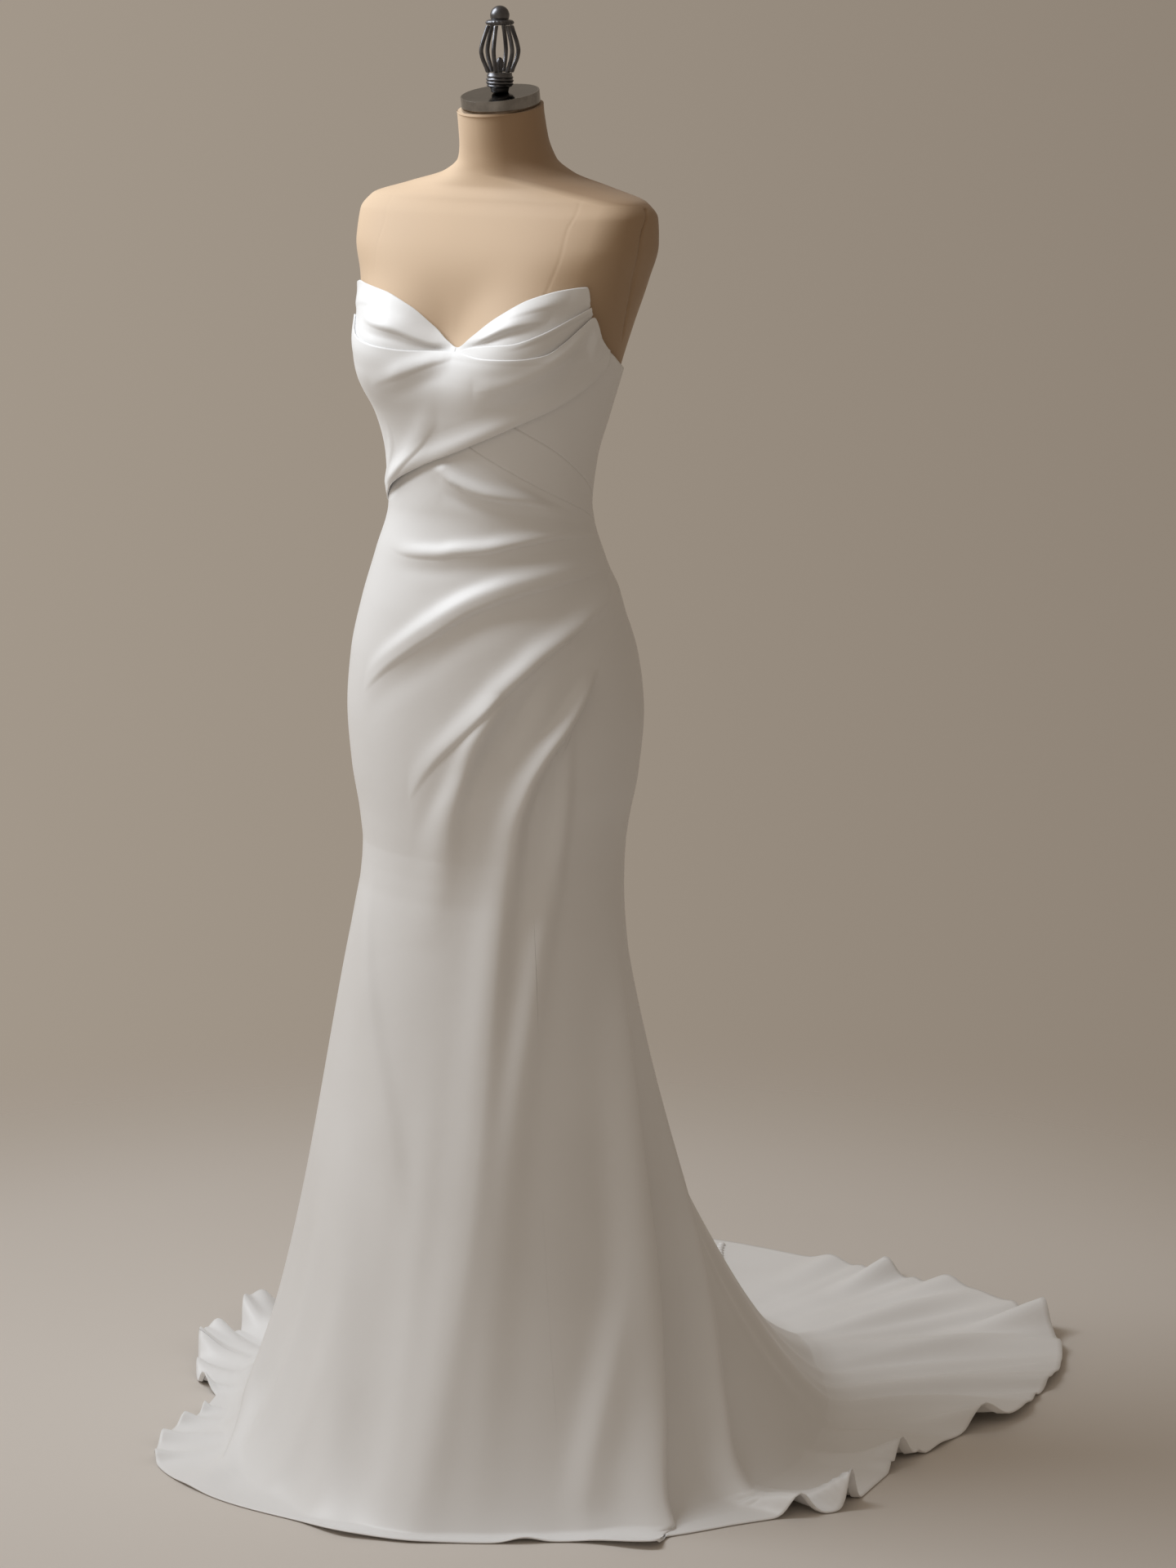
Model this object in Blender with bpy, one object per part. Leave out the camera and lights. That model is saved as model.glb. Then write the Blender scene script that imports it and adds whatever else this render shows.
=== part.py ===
"""A strapless satin wedding dress with a train, worn by a limbless dress form on a stand.

Metres, +Z up. The wearer faces -Y and their left is +X. The origin is on the floor, in the
middle of the stand's foot. Angles are degrees round the figure: 0 at the front, 90 at the
wearer's left, 180 at the centre back. A level is a height above the floor; from 0 to -1 it
is the stretch of skirt that lies on the floor, from where it lands (0) to its hem (-1).
"""
import math

import bpy
import numpy as np
from mathutils import Vector

# ---- Driving dimensions ---------------------------------------------------------------
SEAM_GAP = 0.0003
BODICE_WALL = 0.0018
SKIRT_WALL = 0.0020
FORM_GAP = 0.0006            # between the form and the cloth that lies on it
LAYER = SKIRT_WALL + 0.0007  # how far one piece of cloth lifts to lie over another
UNDERLAP = 0.005             # how far a lower piece runs on under the one that covers it
ROLL = 0.0040                # how far the drape's turned-under edges stand up

KNEE_LEVEL = 0.69            # the skirt flares below this
KNEE_ROUND = 0.035
FLOOR_ROUND = 0.030          # half the length of cloth that bends where the skirt meets the floor
WAIST_SEAM = 1.05            # where the back of the skirt meets the bodice
LEFT_SEAM = 112.0            # angle of the side-back seam on the wearer's left
RIGHT_SEAM = -88.0
RIGHT_BACK_SEAM = -118.0
CENTRE_BACK = 180.0
TRAIN_TURN = 10.0            # how far the centre-back seam has swung round at the train's hem

FORM_LOW = 0.80              # underside of the form, hidden in the skirt
FORM_COLUMNS = 28
FORM_COLUMNS_BUST = 42       # the bust and the hollow between the cups need finer facets
CUP_CLEAR = 0.0014           # how far the form draws in under the cups
DRESS_CLEAR = 0.0005         # and under the rest of the dress
CAP_TOP = 1.564
CAP_RADIUS = 0.0445
CAP_THICK = 0.0155
CAP_TILT = math.radians(11)  # the neck is cut so that the cap leans forward
FINIAL_HEIGHT = 0.096
BALL_RADIUS = 0.0108
BALL_SUNK = 0.0061           # how deep the ball sits in the crown
CROWN_RADIUS = 0.0158
CROWN_THICK = 0.006
COLLAR_RADIUS = 0.0156
COLLAR_HEIGHT = 0.022
BAR_COUNT = 6
BAR_TURN = 45                # where the first bar stands, degrees from +X
BAR_RADIUS = 0.0025
CAGE = ((0.0, 0.16, 0.32, 0.46, 0.63, 0.79, 1.0),              # share of the bars' height
        (0.0129, 0.0164, 0.0198, 0.0211, 0.0195, 0.0168, 0.0129))  # and their distance from the axis
POLE_RADIUS = 0.016
FOOT_RADIUS = 0.190
FOOT_THICK = 0.012

BUTTON_COUNT = 21
BUTTON_RADIUS = 0.0045
BUTTON_HEIGHT = 0.0036
BUTTON_TOP = 1.188           # height of the first button down the centre back
BUTTON_LAST = -0.84          # level of the last one, near the train's hem


def table(columns, rows):
    """Read rows into one array for each named column."""
    return dict(zip(columns.split(), np.array(rows, float).T))


# ---- The figure: sections through a general figure, from below the hip to the neck ----------
FIGURE = table("height half_width front back centre squareness", [
    (0.640, 0.1560, 0.1330, 0.1330, -0.013, 2.0),
    (0.690, 0.1530, 0.1330, 0.1330, -0.013, 2.0),    # knee, the narrowest of the skirt
    (0.740, 0.1590, 0.1340, 0.1380, -0.013, 2.0),
    (0.800, 0.1710, 0.1340, 0.1420, -0.013, 2.05),
    (0.870, 0.1770, 0.1320, 0.1430, -0.013, 2.1),    # hip
    (0.930, 0.1710, 0.1290, 0.1390, -0.014, 2.1),
    (0.990, 0.1550, 0.1220, 0.1230, -0.016, 2.1),
    (1.050, 0.1350, 0.1080, 0.1000, -0.018, 2.1),
    (1.105, 0.1200, 0.0950, 0.0870, -0.018, 2.1),    # waist
    (1.160, 0.1240, 0.0980, 0.0920, -0.016, 2.15),
    (1.210, 0.1350, 0.1080, 0.1060, -0.013, 2.2),
    (1.260, 0.1480, 0.1180, 0.1180, -0.010, 2.2),    # bust
    (1.310, 0.1600, 0.1130, 0.1240, -0.004, 2.3),
    (1.360, 0.1750, 0.0980, 0.1120, 0.004, 2.6),
    (1.400, 0.1860, 0.0800, 0.0880, 0.010, 2.9),
    (1.430, 0.1890, 0.0660, 0.0680, 0.014, 2.8),     # shoulder
    (1.447, 0.1780, 0.0560, 0.0600, 0.015, 2.5),
    (1.462, 0.1300, 0.0520, 0.0560, 0.019, 2.2),
    (1.476, 0.0800, 0.0500, 0.0540, 0.018, 2.1),
    (1.492, 0.0570, 0.0490, 0.0530, 0.014, 2.0),
    (1.515, 0.0505, 0.0475, 0.0510, 0.007, 2.0),
    (1.550, 0.0490, 0.0465, 0.0480, 0.000, 2.0),     # neck
])
CUP = dict(angle=36.0, spread=24.0, height=1.282, tall=0.048, rise=0.020)
STERNUM = dict(spread=17.0, height=1.305, tall=0.055, depth=0.024)

# ---- The flare: how each direction round the skirt runs from the knee to the hem ------------
# hem and landing are distances from the axis. drop and out place the curve's knee handle, and
# run and lift its floor handle.
FLARE = table("angle hem landing drop out run lift", [
    (-180, 0.742, 0.500, 0.31, 0.022, 0.17, 0.080),
    (-167, 0.752, 0.500, 0.31, 0.026, 0.18, 0.070),
    (-150, 0.745, 0.480, 0.30, 0.034, 0.18, 0.055),
    (-135, 0.680, 0.450, 0.28, 0.040, 0.16, 0.045),
    (-120, 0.560, 0.410, 0.27, 0.046, 0.13, 0.045),
    (-112, 0.495, 0.392, 0.26, 0.050, 0.12, 0.045),
    (-105, 0.474, 0.380, 0.25, 0.050, 0.12, 0.045),
    (-98, 0.442, 0.368, 0.25, 0.052, 0.11, 0.045),
    (-92, 0.452, 0.360, 0.25, 0.053, 0.11, 0.042),
    (-84, 0.422, 0.355, 0.25, 0.054, 0.10, 0.040),
    (-75, 0.388, 0.345, 0.25, 0.056, 0.10, 0.035),
    (-69, 0.353, 0.335, 0.25, 0.056, 0.10, 0.030),
    (-61, 0.356, 0.332, 0.25, 0.056, 0.10, 0.028),
    (-50, 0.392, 0.335, 0.25, 0.056, 0.11, 0.024),
    (-35, 0.423, 0.350, 0.25, 0.050, 0.12, 0.024),
    (-20, 0.411, 0.362, 0.25, 0.044, 0.12, 0.030),
    (0, 0.391, 0.370, 0.25, 0.040, 0.11, 0.050),
    (20, 0.388, 0.370, 0.25, 0.040, 0.09, 0.080),
    (40, 0.386, 0.368, 0.25, 0.040, 0.09, 0.090),
    (58, 0.408, 0.372, 0.25, 0.040, 0.10, 0.080),
    (71, 0.421, 0.376, 0.25, 0.040, 0.12, 0.065),
    (80, 0.445, 0.380, 0.25, 0.040, 0.13, 0.055),
    (88, 0.482, 0.384, 0.25, 0.040, 0.12, 0.050),
    (97, 0.478, 0.386, 0.27, 0.034, 0.10, 0.060),
    (105, 0.482, 0.388, 0.30, 0.022, 0.10, 0.070),
    (112, 0.512, 0.390, 0.33, 0.012, 0.10, 0.080),
    (120, 0.556, 0.395, 0.36, 0.002, 0.105, 0.085),
    (124, 0.612, 0.398, 0.36, 0.001, 0.105, 0.085),
    (131, 0.655, 0.404, 0.36, 0.001, 0.105, 0.085),
    (138, 0.711, 0.412, 0.36, 0.002, 0.105, 0.085),
    (146, 0.752, 0.425, 0.36, 0.004, 0.12, 0.080),
    (156, 0.768, 0.445, 0.35, 0.006, 0.14, 0.070),
    (168, 0.750, 0.475, 0.33, 0.014, 0.16, 0.075),
    (180, 0.742, 0.500, 0.31, 0.022, 0.17, 0.080),
])

# Long folds that fall from the hip to the hem. before and after are the half widths of the ridge
# towards smaller and larger angles, out is how far it stands out from the skirt, and up how far
# it lifts the cloth that lies on the floor.
FOLD_COLUMNS = "level angle before after out up"
FLARE_FOLDS = {
    "right_side": table(FOLD_COLUMNS, [
        (0.62, -60, 0.030, 0.030, 0.000, 0.000),
        (0.40, -60, 0.030, 0.028, 0.007, 0.000),
        (0.25, -57, 0.028, 0.024, 0.013, 0.000),
        (0.16, -52, 0.026, 0.021, 0.016, 0.000),
        (0.10, -43, 0.024, 0.019, 0.015, 0.000),
        (0.04, -33, 0.022, 0.019, 0.010, 0.003),
        (0.00, -28, 0.022, 0.020, 0.004, 0.006),
        (-1.0, -25, 0.026, 0.024, 0.000, 0.002),
    ]),
    "right_crossing": table(FOLD_COLUMNS, [
        (0.68, -38, 0.020, 0.012, 0.000, 0.000),
        (0.62, -31, 0.024, 0.012, 0.003, 0.000),
        (0.563, -22, 0.030, 0.013, 0.0045, 0.000),
        (0.49, -9, 0.034, 0.014, 0.0045, 0.000),
        (0.40, 2, 0.034, 0.018, 0.003, 0.000),
        (0.30, 9, 0.030, 0.022, 0.000, 0.000),
    ]),
    "front_right": table(FOLD_COLUMNS, [
        (0.46, -24, 0.030, 0.030, 0.000, 0.000),
        (0.26, -10, 0.034, 0.034, 0.008, 0.000),
        (0.12, -3, 0.036, 0.036, 0.012, 0.000),
        (0.00, 2, 0.038, 0.038, 0.013, 0.000),
        (-1.0, 8, 0.040, 0.040, 0.013, 0.005),
    ]),
    "hip_fall": table(FOLD_COLUMNS, [
        (0.935, 72, 0.014, 0.008, 0.000, 0.000),
        (0.905, 62.5, 0.012, 0.007, 0.011, 0.000),
        (0.873, 54, 0.012, 0.007, 0.015, 0.000),
        (0.842, 46.5, 0.013, 0.007, 0.016, 0.000),
        (0.810, 41.5, 0.014, 0.008, 0.016, 0.000),
        (0.770, 38.5, 0.016, 0.009, 0.014, 0.000),
        (0.721, 37.5, 0.020, 0.011, 0.012, 0.000),
        (0.651, 33.5, 0.024, 0.014, 0.011, 0.000),
        (0.553, 30, 0.028, 0.017, 0.011, 0.000),
        (0.392, 26, 0.034, 0.022, 0.011, 0.000),
        (0.20, 21, 0.036, 0.030, 0.010, 0.000),
        (0.00, 18, 0.040, 0.036, 0.009, 0.000),
        (-1.0, 18, 0.044, 0.040, 0.008, 0.002),
    ]),
    "hip_room": table(FOLD_COLUMNS, [
        (1.000, 44, 0.060, 0.060, 0.000, 0.000),
        (0.950, 40, 0.060, 0.060, 0.004, 0.000),
        (0.880, 36, 0.060, 0.055, 0.005, 0.000),
        (0.820, 32, 0.060, 0.055, 0.004, 0.000),
        (0.740, 30, 0.060, 0.060, 0.000, 0.000),
    ]),
    "pleat_hollow": table(FOLD_COLUMNS, [
        (0.940, 48, 0.012, 0.012, 0.000, 0.000),
        (0.918, 42.5, 0.013, 0.013, -0.004, 0.000),
        (0.885, 36, 0.014, 0.014, -0.0065, 0.000),
        (0.853, 30.5, 0.014, 0.014, -0.006, 0.000),
        (0.824, 27, 0.016, 0.016, -0.003, 0.000),
        (0.790, 23, 0.018, 0.018, 0.000, 0.000),
    ]),
    "under_pleat": table(FOLD_COLUMNS, [
        (0.912, 32, 0.014, 0.007, 0.000, 0.000),
        (0.885, 26, 0.013, 0.007, 0.008, 0.000),
        (0.850, 20, 0.014, 0.008, 0.011, 0.000),
        (0.815, 16, 0.016, 0.009, 0.010, 0.000),
        (0.769, 12, 0.019, 0.011, 0.008, 0.000),
        (0.70, 8, 0.026, 0.018, 0.004, 0.000),
        (0.62, 2, 0.030, 0.024, 0.000, 0.000),
    ]),
    "front_left": table(FOLD_COLUMNS, [
        (0.88, 57, 0.010, 0.008, 0.000, 0.000),
        (0.84, 57, 0.012, 0.009, 0.003, 0.000),
        (0.80, 57.5, 0.012, 0.010, 0.005, 0.000),
        (0.74, 58.5, 0.014, 0.011, 0.007, 0.000),
        (0.69, 56, 0.016, 0.013, 0.008, 0.000),
        (0.651, 51.5, 0.018, 0.015, 0.009, 0.000),
        (0.575, 45, 0.020, 0.018, 0.009, 0.000),
        (0.494, 39, 0.022, 0.020, 0.009, 0.000),
        (0.435, 36, 0.024, 0.022, 0.009, 0.000),
        (0.33, 32.5, 0.026, 0.026, 0.008, 0.000),
        (0.18, 30, 0.028, 0.028, 0.005, 0.000),
        (0.00, 29, 0.030, 0.030, 0.000, 0.000),
    ]),
    "left_crossing": table(FOLD_COLUMNS, [
        (0.60, 86, 0.026, 0.024, 0.000, 0.000),
        (0.50, 80, 0.026, 0.026, 0.005, 0.000),
        (0.40, 74, 0.024, 0.030, 0.009, 0.000),
        (0.32, 69, 0.022, 0.034, 0.012, 0.000),
        (0.25, 62, 0.021, 0.038, 0.014, 0.000),
        (0.18, 56, 0.021, 0.040, 0.014, 0.000),
        (0.11, 52, 0.022, 0.040, 0.012, 0.000),
        (0.03, 50, 0.024, 0.038, 0.006, 0.000),
        (-1.0, 50, 0.026, 0.036, 0.000, 0.002),
    ]),
    "left_edge": table(FOLD_COLUMNS, [
        (0.62, 89, 0.026, 0.012, 0.000, 0.000),
        (0.48, 82, 0.028, 0.010, 0.013, 0.000),
        (0.34, 77, 0.032, 0.010, 0.024, 0.000),
        (0.20, 70, 0.036, 0.010, 0.030, 0.000),
        (0.05, 63, 0.040, 0.012, 0.032, 0.000),
        (-1.0, 57, 0.042, 0.016, 0.028, 0.008),
    ]),
    "left_second": table(FOLD_COLUMNS, [
        (0.62, 108, 0.020, 0.016, 0.000, 0.000),
        (0.50, 104, 0.018, 0.016, 0.008, 0.000),
        (0.40, 100, 0.016, 0.016, 0.014, 0.000),
        (0.29, 93, 0.015, 0.018, 0.021, 0.000),
        (0.16, 85, 0.015, 0.020, 0.027, 0.000),
        (0.08, 81, 0.015, 0.022, 0.028, 0.002),
        (0.00, 80, 0.016, 0.022, 0.020, 0.012),
        (-0.5, 81.5, 0.016, 0.016, 0.008, 0.020),
        (-1.0, 82, 0.014, 0.012, 0.000, 0.026),
    ]),
    "left_third": table(FOLD_COLUMNS, [
        (0.46, 126, 0.030, 0.030, 0.000, 0.000),
        (0.30, 131, 0.036, 0.036, 0.007, 0.000),
        (0.15, 128, 0.036, 0.036, 0.008, 0.000),
        (0.00, 125, 0.034, 0.034, 0.000, 0.006),
    ]),
    "back_left": table(FOLD_COLUMNS, [
        (0.58, 158, 0.026, 0.026, 0.000, 0.000),
        (0.38, 158, 0.032, 0.032, 0.012, 0.000),
        (0.20, 157, 0.040, 0.040, 0.018, 0.000),
        (0.00, 156, 0.044, 0.044, 0.004, 0.008),
    ]),
    "back_right": table(FOLD_COLUMNS, [
        (0.60, -150, 0.026, 0.026, 0.000, 0.000),
        (0.38, -150, 0.032, 0.032, 0.014, 0.000),
        (0.18, -148, 0.040, 0.040, 0.019, 0.000),
        (0.00, -147, 0.044, 0.044, 0.004, 0.008),
    ]),
    "right_second": table(FOLD_COLUMNS, [
        (0.62, -96, 0.024, 0.024, 0.000, 0.000),
        (0.42, -99, 0.028, 0.026, 0.014, 0.000),
        (0.22, -102, 0.032, 0.028, 0.022, 0.000),
        (0.02, -104, 0.036, 0.032, 0.014, 0.006),
    ]),
}

# Ridges and ruffle waves of the hem and train, where the cloth lies on the floor. landing and
# hem are angles, width is half the ridge's width, start the level where it begins, and middle
# and edge its height halfway out and at the hem.
TRAIN_RIDGES = table("landing hem width start middle edge", [
    (84, 89.5, 0.013, 0.02, 0.012, 0.043),
    (104, 107, 0.015, 0.03, 0.010, 0.032),
    (114, 114.5, 0.022, 0.10, 0.013, 0.004),
    (119, 121.5, 0.014, 0.02, 0.006, 0.028),
    (126, 127, 0.025, 0.12, 0.017, 0.006),
    (134, 135.5, 0.023, 0.12, 0.016, 0.010),
    (143, 140, 0.018, 0.06, 0.008, 0.006),
    (151, 143.5, 0.025, 0.12, 0.018, 0.012),
    (152, 149, 0.024, 0.02, 0.006, 0.044),
    (157, 160, 0.026, 0.12, 0.020, 0.008),
    (164, 163.5, 0.026, 0.02, 0.008, 0.020),
    (171, 171, 0.017, 0.02, 0.002, 0.024),
    (178, 177.5, 0.022, 0.02, 0.002, 0.010),
    (-161, -161, 0.026, 0.10, 0.013, 0.030),
    (-154, -152, 0.020, 0.05, 0.006, 0.012),
    (-145, -147, 0.028, 0.12, 0.015, 0.024),
    (-135, -134, 0.018, 0.04, 0.006, 0.016),
    (-127, -124, 0.026, 0.12, 0.014, 0.010),
    (-116, -116, 0.016, 0.03, 0.005, 0.020),
    (-104, -107.5, 0.021, 0.05, 0.010, 0.030),
    (-101, -103, 0.019, 0.05, 0.010, 0.030),
    (-92, -94, 0.019, 0.06, 0.012, 0.031),
    (-87, -88.5, 0.021, 0.06, 0.012, 0.033),
    (-80, -81, 0.014, 0.03, 0.006, 0.016),
    (-45, -46, 0.013, 0.02, 0.006, 0.014),
    (38, 38, 0.020, 0.02, 0.001, 0.006),
])


# ---- The pleats and creases over the hip, waist and bust -----------------------------------
def crease(above, below, rows):
    """Give a ridge that runs round the figure, above and below its crest half as wide as given."""
    line = table("angle height rise", rows)
    return dict(above=above, below=below, height=smooth(line["angle"], line["height"]),
                rise=smooth(line["angle"], line["rise"]))


def smooth(xs, ys):
    """Return a curve through the points that never overshoots, held flat past both ends."""
    order = np.argsort(xs)
    xs = np.asarray(xs, float)[order]
    ys = np.asarray(ys, float)[order]
    steps = np.diff(xs)
    slopes = np.diff(ys) / steps
    tangents = np.zeros(len(xs))
    for i in range(1, len(xs) - 1):
        before, after = slopes[i - 1], slopes[i]
        if before * after > 0:
            near = 2 * steps[i] + steps[i - 1]
            far = steps[i] + 2 * steps[i - 1]
            tangents[i] = (near + far) / (near / before + far / after)
    tangents[0] = slopes[0]
    tangents[-1] = slopes[-1]

    def value(x):
        x = np.clip(np.asarray(x, float), xs[0], xs[-1])
        i = np.clip(np.searchsorted(xs, x, side="right") - 1, 0, len(xs) - 2)
        t = (x - xs[i]) / steps[i]
        ends = (1 + 2 * t) * (1 - t) ** 2 * ys[i] + t * t * (3 - 2 * t) * ys[i + 1]
        turns = t * (1 - t) ** 2 * tangents[i] + t * t * (t - 1) * tangents[i + 1]
        return ends + turns * steps[i]
    return value


HIP_PLEATS = [
    crease(0.010, 0.011, [(-7, 1.158, 0.000), (-1, 1.153, 0.003), (3, 1.146, 0.005), (8, 1.140, 0.007),
                          (15, 1.134, 0.008), (25, 1.128, 0.0085), (37, 1.124, 0.0075), (50, 1.121, 0.0065),
                          (62, 1.116, 0.005), (82, 1.107, 0.003), (107, 1.093, 0.000)]),
    crease(0.009, 0.013, [(-34, 1.062, 0.000), (-24, 1.059, 0.001), (-15, 1.058, 0.003), (1, 1.060, 0.005),
                          (10, 1.064, 0.006), (24, 1.068, 0.0065), (39, 1.075, 0.007), (55, 1.081, 0.007),
                          (68, 1.083, 0.006), (84, 1.080, 0.004), (112, 1.075, 0.001)]),
    crease(0.011, 0.022, [(-34, 0.912, 0.000), (-21, 0.942, 0.004), (-10, 0.966, 0.007), (0, 0.990, 0.009),
                          (8, 1.006, 0.010), (18, 1.022, 0.010), (30, 1.034, 0.010), (42, 1.042, 0.009),
                          (56, 1.048, 0.008), (70, 1.052, 0.007), (90, 1.053, 0.005), (112, 1.052, 0.002)]),
    crease(0.012, 0.018, [(-8, 0.785, 0.000), (3, 0.828, 0.004), (12, 0.857, 0.007), (23, 0.889, 0.010),
                          (30, 0.904, 0.011), (39, 0.934, 0.012), (47, 0.955, 0.012), (58, 0.972, 0.011),
                          (71, 0.993, 0.009), (80, 1.004, 0.007), (99, 1.018, 0.004), (112, 1.021, 0.001)]),
    crease(0.007, 0.007, [(62, 0.978, 0.000), (70, 0.985, 0.002), (80, 0.992, 0.003), (100, 1.008, 0.002),
                          (112, 1.016, 0.000)]),
]
DRAPE_CREASES = [
    crease(0.012, 0.012, [(-30, 1.244, 0.000), (-22, 1.252, 0.002), (-14, 1.260, 0.005), (-6, 1.270, 0.005),
                          (5, 1.281, 0.001)]),
    crease(0.016, 0.015, [(-46, 1.128, 0.001), (-34, 1.138, 0.005), (-21, 1.159, 0.006), (-11, 1.179, 0.004),
                          (0, 1.211, 0.000)]),
    crease(0.010, 0.012, [(-62, 1.118, 0.000), (-50, 1.138, 0.002), (-40, 1.163, 0.002), (-32, 1.190, 0.000)]),
    crease(0.012, 0.014, [(18, 1.246, 0.000), (26, 1.248, 0.004), (40, 1.258, 0.006), (56, 1.282, 0.006),
                          (68, 1.312, 0.002)]),
]
CUP_CREASES = [
    crease(0.010, 0.008, [(-37, 1.316, 0.000), (-28, 1.311, 0.004), (-18, 1.306, 0.007), (-11, 1.298, 0.007),
                          (-4, 1.291, 0.005), (2, 1.286, 0.000)]),
    crease(0.012, 0.014, [(-62, 1.326, 0.000), (-50, 1.331, 0.002), (-38, 1.334, 0.002), (-26, 1.334, 0.000)]),
]


# ---- Edges and seams of the pieces, as heights round the figure -----------------------------
def edge(rows):
    line = table("angle height", rows)
    return smooth(line["angle"], line["height"])


NOTCH_ANGLE = 5.0            # where the two cups meet at the front
NECKLINE = edge([(-180, 1.205), (-150, 1.222), (-116, 1.259), (-100, 1.270), (-86, 1.288), (-74, 1.311),
                 (-65, 1.338), (-57, 1.351), (-49, 1.353), (-45, 1.352), (-26, 1.345), (-15, 1.331),
                 (-6, 1.310), (NOTCH_ANGLE, 1.289), (13, 1.304), (21, 1.325), (31, 1.345), (45, 1.356),
                 (57, 1.359), (65, 1.334), (74, 1.311), (86, 1.288), (100, 1.270), (116, 1.259),
                 (150, 1.222), (180, 1.205)])
CUP_RIGHT_LOW = edge([(-88, 1.262), (-75, 1.288), (-60, 1.311), (-51, 1.316), (-39, 1.297), (-25, 1.287),
                      (-13, 1.283), (5, 1.285)])
CUP_LEFT_LOW = edge([(5, 1.284), (14, 1.291), (22, 1.295), (31, 1.298), (41, 1.308), (55, 1.326),
                     (64, 1.337)])
DRAPE_TOP = edge([(-88, 1.262), (-75, 1.288), (-60, 1.311), (-51, 1.316), (-39, 1.297), (-25, 1.287),
                  (-13, 1.2835), (5, 1.2845), (12, 1.283), (20, 1.281), (34, 1.282), (46, 1.287), (54, 1.300),
                  (61, 1.315), (67, 1.326), (74, 1.309), (87, 1.2865)])
DRAPE_LOW = edge([(-88, 1.094), (-70, 1.102), (-47, 1.120), (-22, 1.145), (0, 1.167), (26, 1.194),
                  (42, 1.211), (63, 1.233), (81, 1.258), (88, 1.272)])
SIDE_SEAM_LOW = edge([(5, 1.198), (14, 1.183), (35, 1.157), (61, 1.131), (103, 1.097), (112, 1.090)])
SIDE_SEAM_HIGH = edge([(28, 1.219), (39, 1.205), (64, 1.177), (95, 1.137), (112, 1.117)])
# The pleats end in this seam, which sweeps from the side down to the front of the knee.
PLEAT_SEAM = table("level angle", [
    (-1.0, 46), (0.30, 46), (0.60, 47), (0.72, 48.5), (0.811, 51), (0.864, 58), (0.909, 67), (0.959, 84),
    (0.986, 110), (0.990, LEFT_SEAM),
])


def blend(value, low, high):
    """Rise smoothly from 0 at low to 1 at high."""
    t = np.clip((value - low) / (high - low), 0, 1)
    return t * t * (3 - 2 * t)


SECTION = {name: smooth(FIGURE["height"], FIGURE[name]) for name in FIGURE if name != "height"}


def figure_point(angle, height, ease):
    """Return points on the figure, ease outside it."""
    turn = np.radians(angle)
    ease = ease - STERNUM["depth"] * np.exp(-(angle / STERNUM["spread"]) ** 2
                                            - ((height - STERNUM["height"]) / STERNUM["tall"]) ** 2)
    for side in (-1, 1):
        ease = ease + CUP["rise"] * np.exp(-((angle - side * CUP["angle"]) / CUP["spread"]) ** 2
                                           - ((height - CUP["height"]) / CUP["tall"]) ** 2)
    power = 2 / SECTION["squareness"](height)
    across, ahead = np.sin(turn), np.cos(turn)
    depth = np.where(ahead > 0, SECTION["front"](height), SECTION["back"](height)) + ease
    x = (SECTION["half_width"](height) + ease) * np.sign(across) * np.abs(across) ** power
    y = SECTION["centre"](height) - depth * np.sign(ahead) * np.abs(ahead) ** power
    return np.stack([x, y, height + 0 * x], -1)


def round_the_skirt(values):
    """Return a smooth closed curve of one FLARE column against the angle."""
    angles = FLARE["angle"]
    around = np.concatenate([angles[:-1] - 360, angles, angles[1:] + 360])
    curve = smooth(around, np.concatenate([values[:-1], values, values[1:]]))
    return lambda angle: curve((angle + 180) % 360 - 180)


FLARE_CURVE = {name: round_the_skirt(FLARE[name]) for name in FLARE if name != "angle"}


def apart(angle, other):
    """Return the turn from other to angle, the short way round."""
    return (angle - other + 180) % 360 - 180


def flare_folds(angle, level, radius):
    """Return how far the folds push the skirt outwards and up."""
    out = np.zeros_like(radius)
    up = np.zeros_like(radius)
    for fold in FLARE_FOLDS.values():
        at = {name: smooth(fold["level"], fold[name])(level) for name in fold}
        away = np.radians(apart(angle, at["angle"])) * radius
        shape = np.exp(-(away / np.where(away < 0, at["before"], at["after"])) ** 2)
        out += at["out"] * shape
        up += at["up"] * shape
    for landing, hem, width, start, middle, rise in zip(*TRAIN_RIDGES.values()):
        centre = landing + apart(hem, landing) * np.clip(-level, 0, 1)
        height = smooth((-1.0, -0.5, 0.0, start), (rise, middle, 0.5 * middle, 0.0))(level)
        up += height * np.exp(-(np.radians(apart(angle, centre)) * radius / width) ** 2)
    return out, up


def dress_point(angle, level, ease):
    """Return points on the dress, with its bends at the knee and the floor rounded off."""
    depth = FLARE_CURVE["hem"](angle) - FLARE_CURVE["landing"](angle)
    along = np.where(level > 0, level, level * depth)    # metres above the landing line, or out from it
    bend = np.minimum(FLOOR_ROUND, 0.5 * depth)
    near = KNEE_ROUND * np.clip(1 - np.abs(level - KNEE_LEVEL) / (2 * KNEE_ROUND), 0, 1)
    near = near + bend * np.clip(1 - np.abs(along) / (2 * bend), 0, 1)
    sides = 0
    for beside in (along + near, along - near):
        sides = sides + skirt_point(angle, np.where(beside > 0, beside, beside / depth), ease)
    return 0.5 * skirt_point(angle, level, ease) + 0.25 * sides


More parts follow.
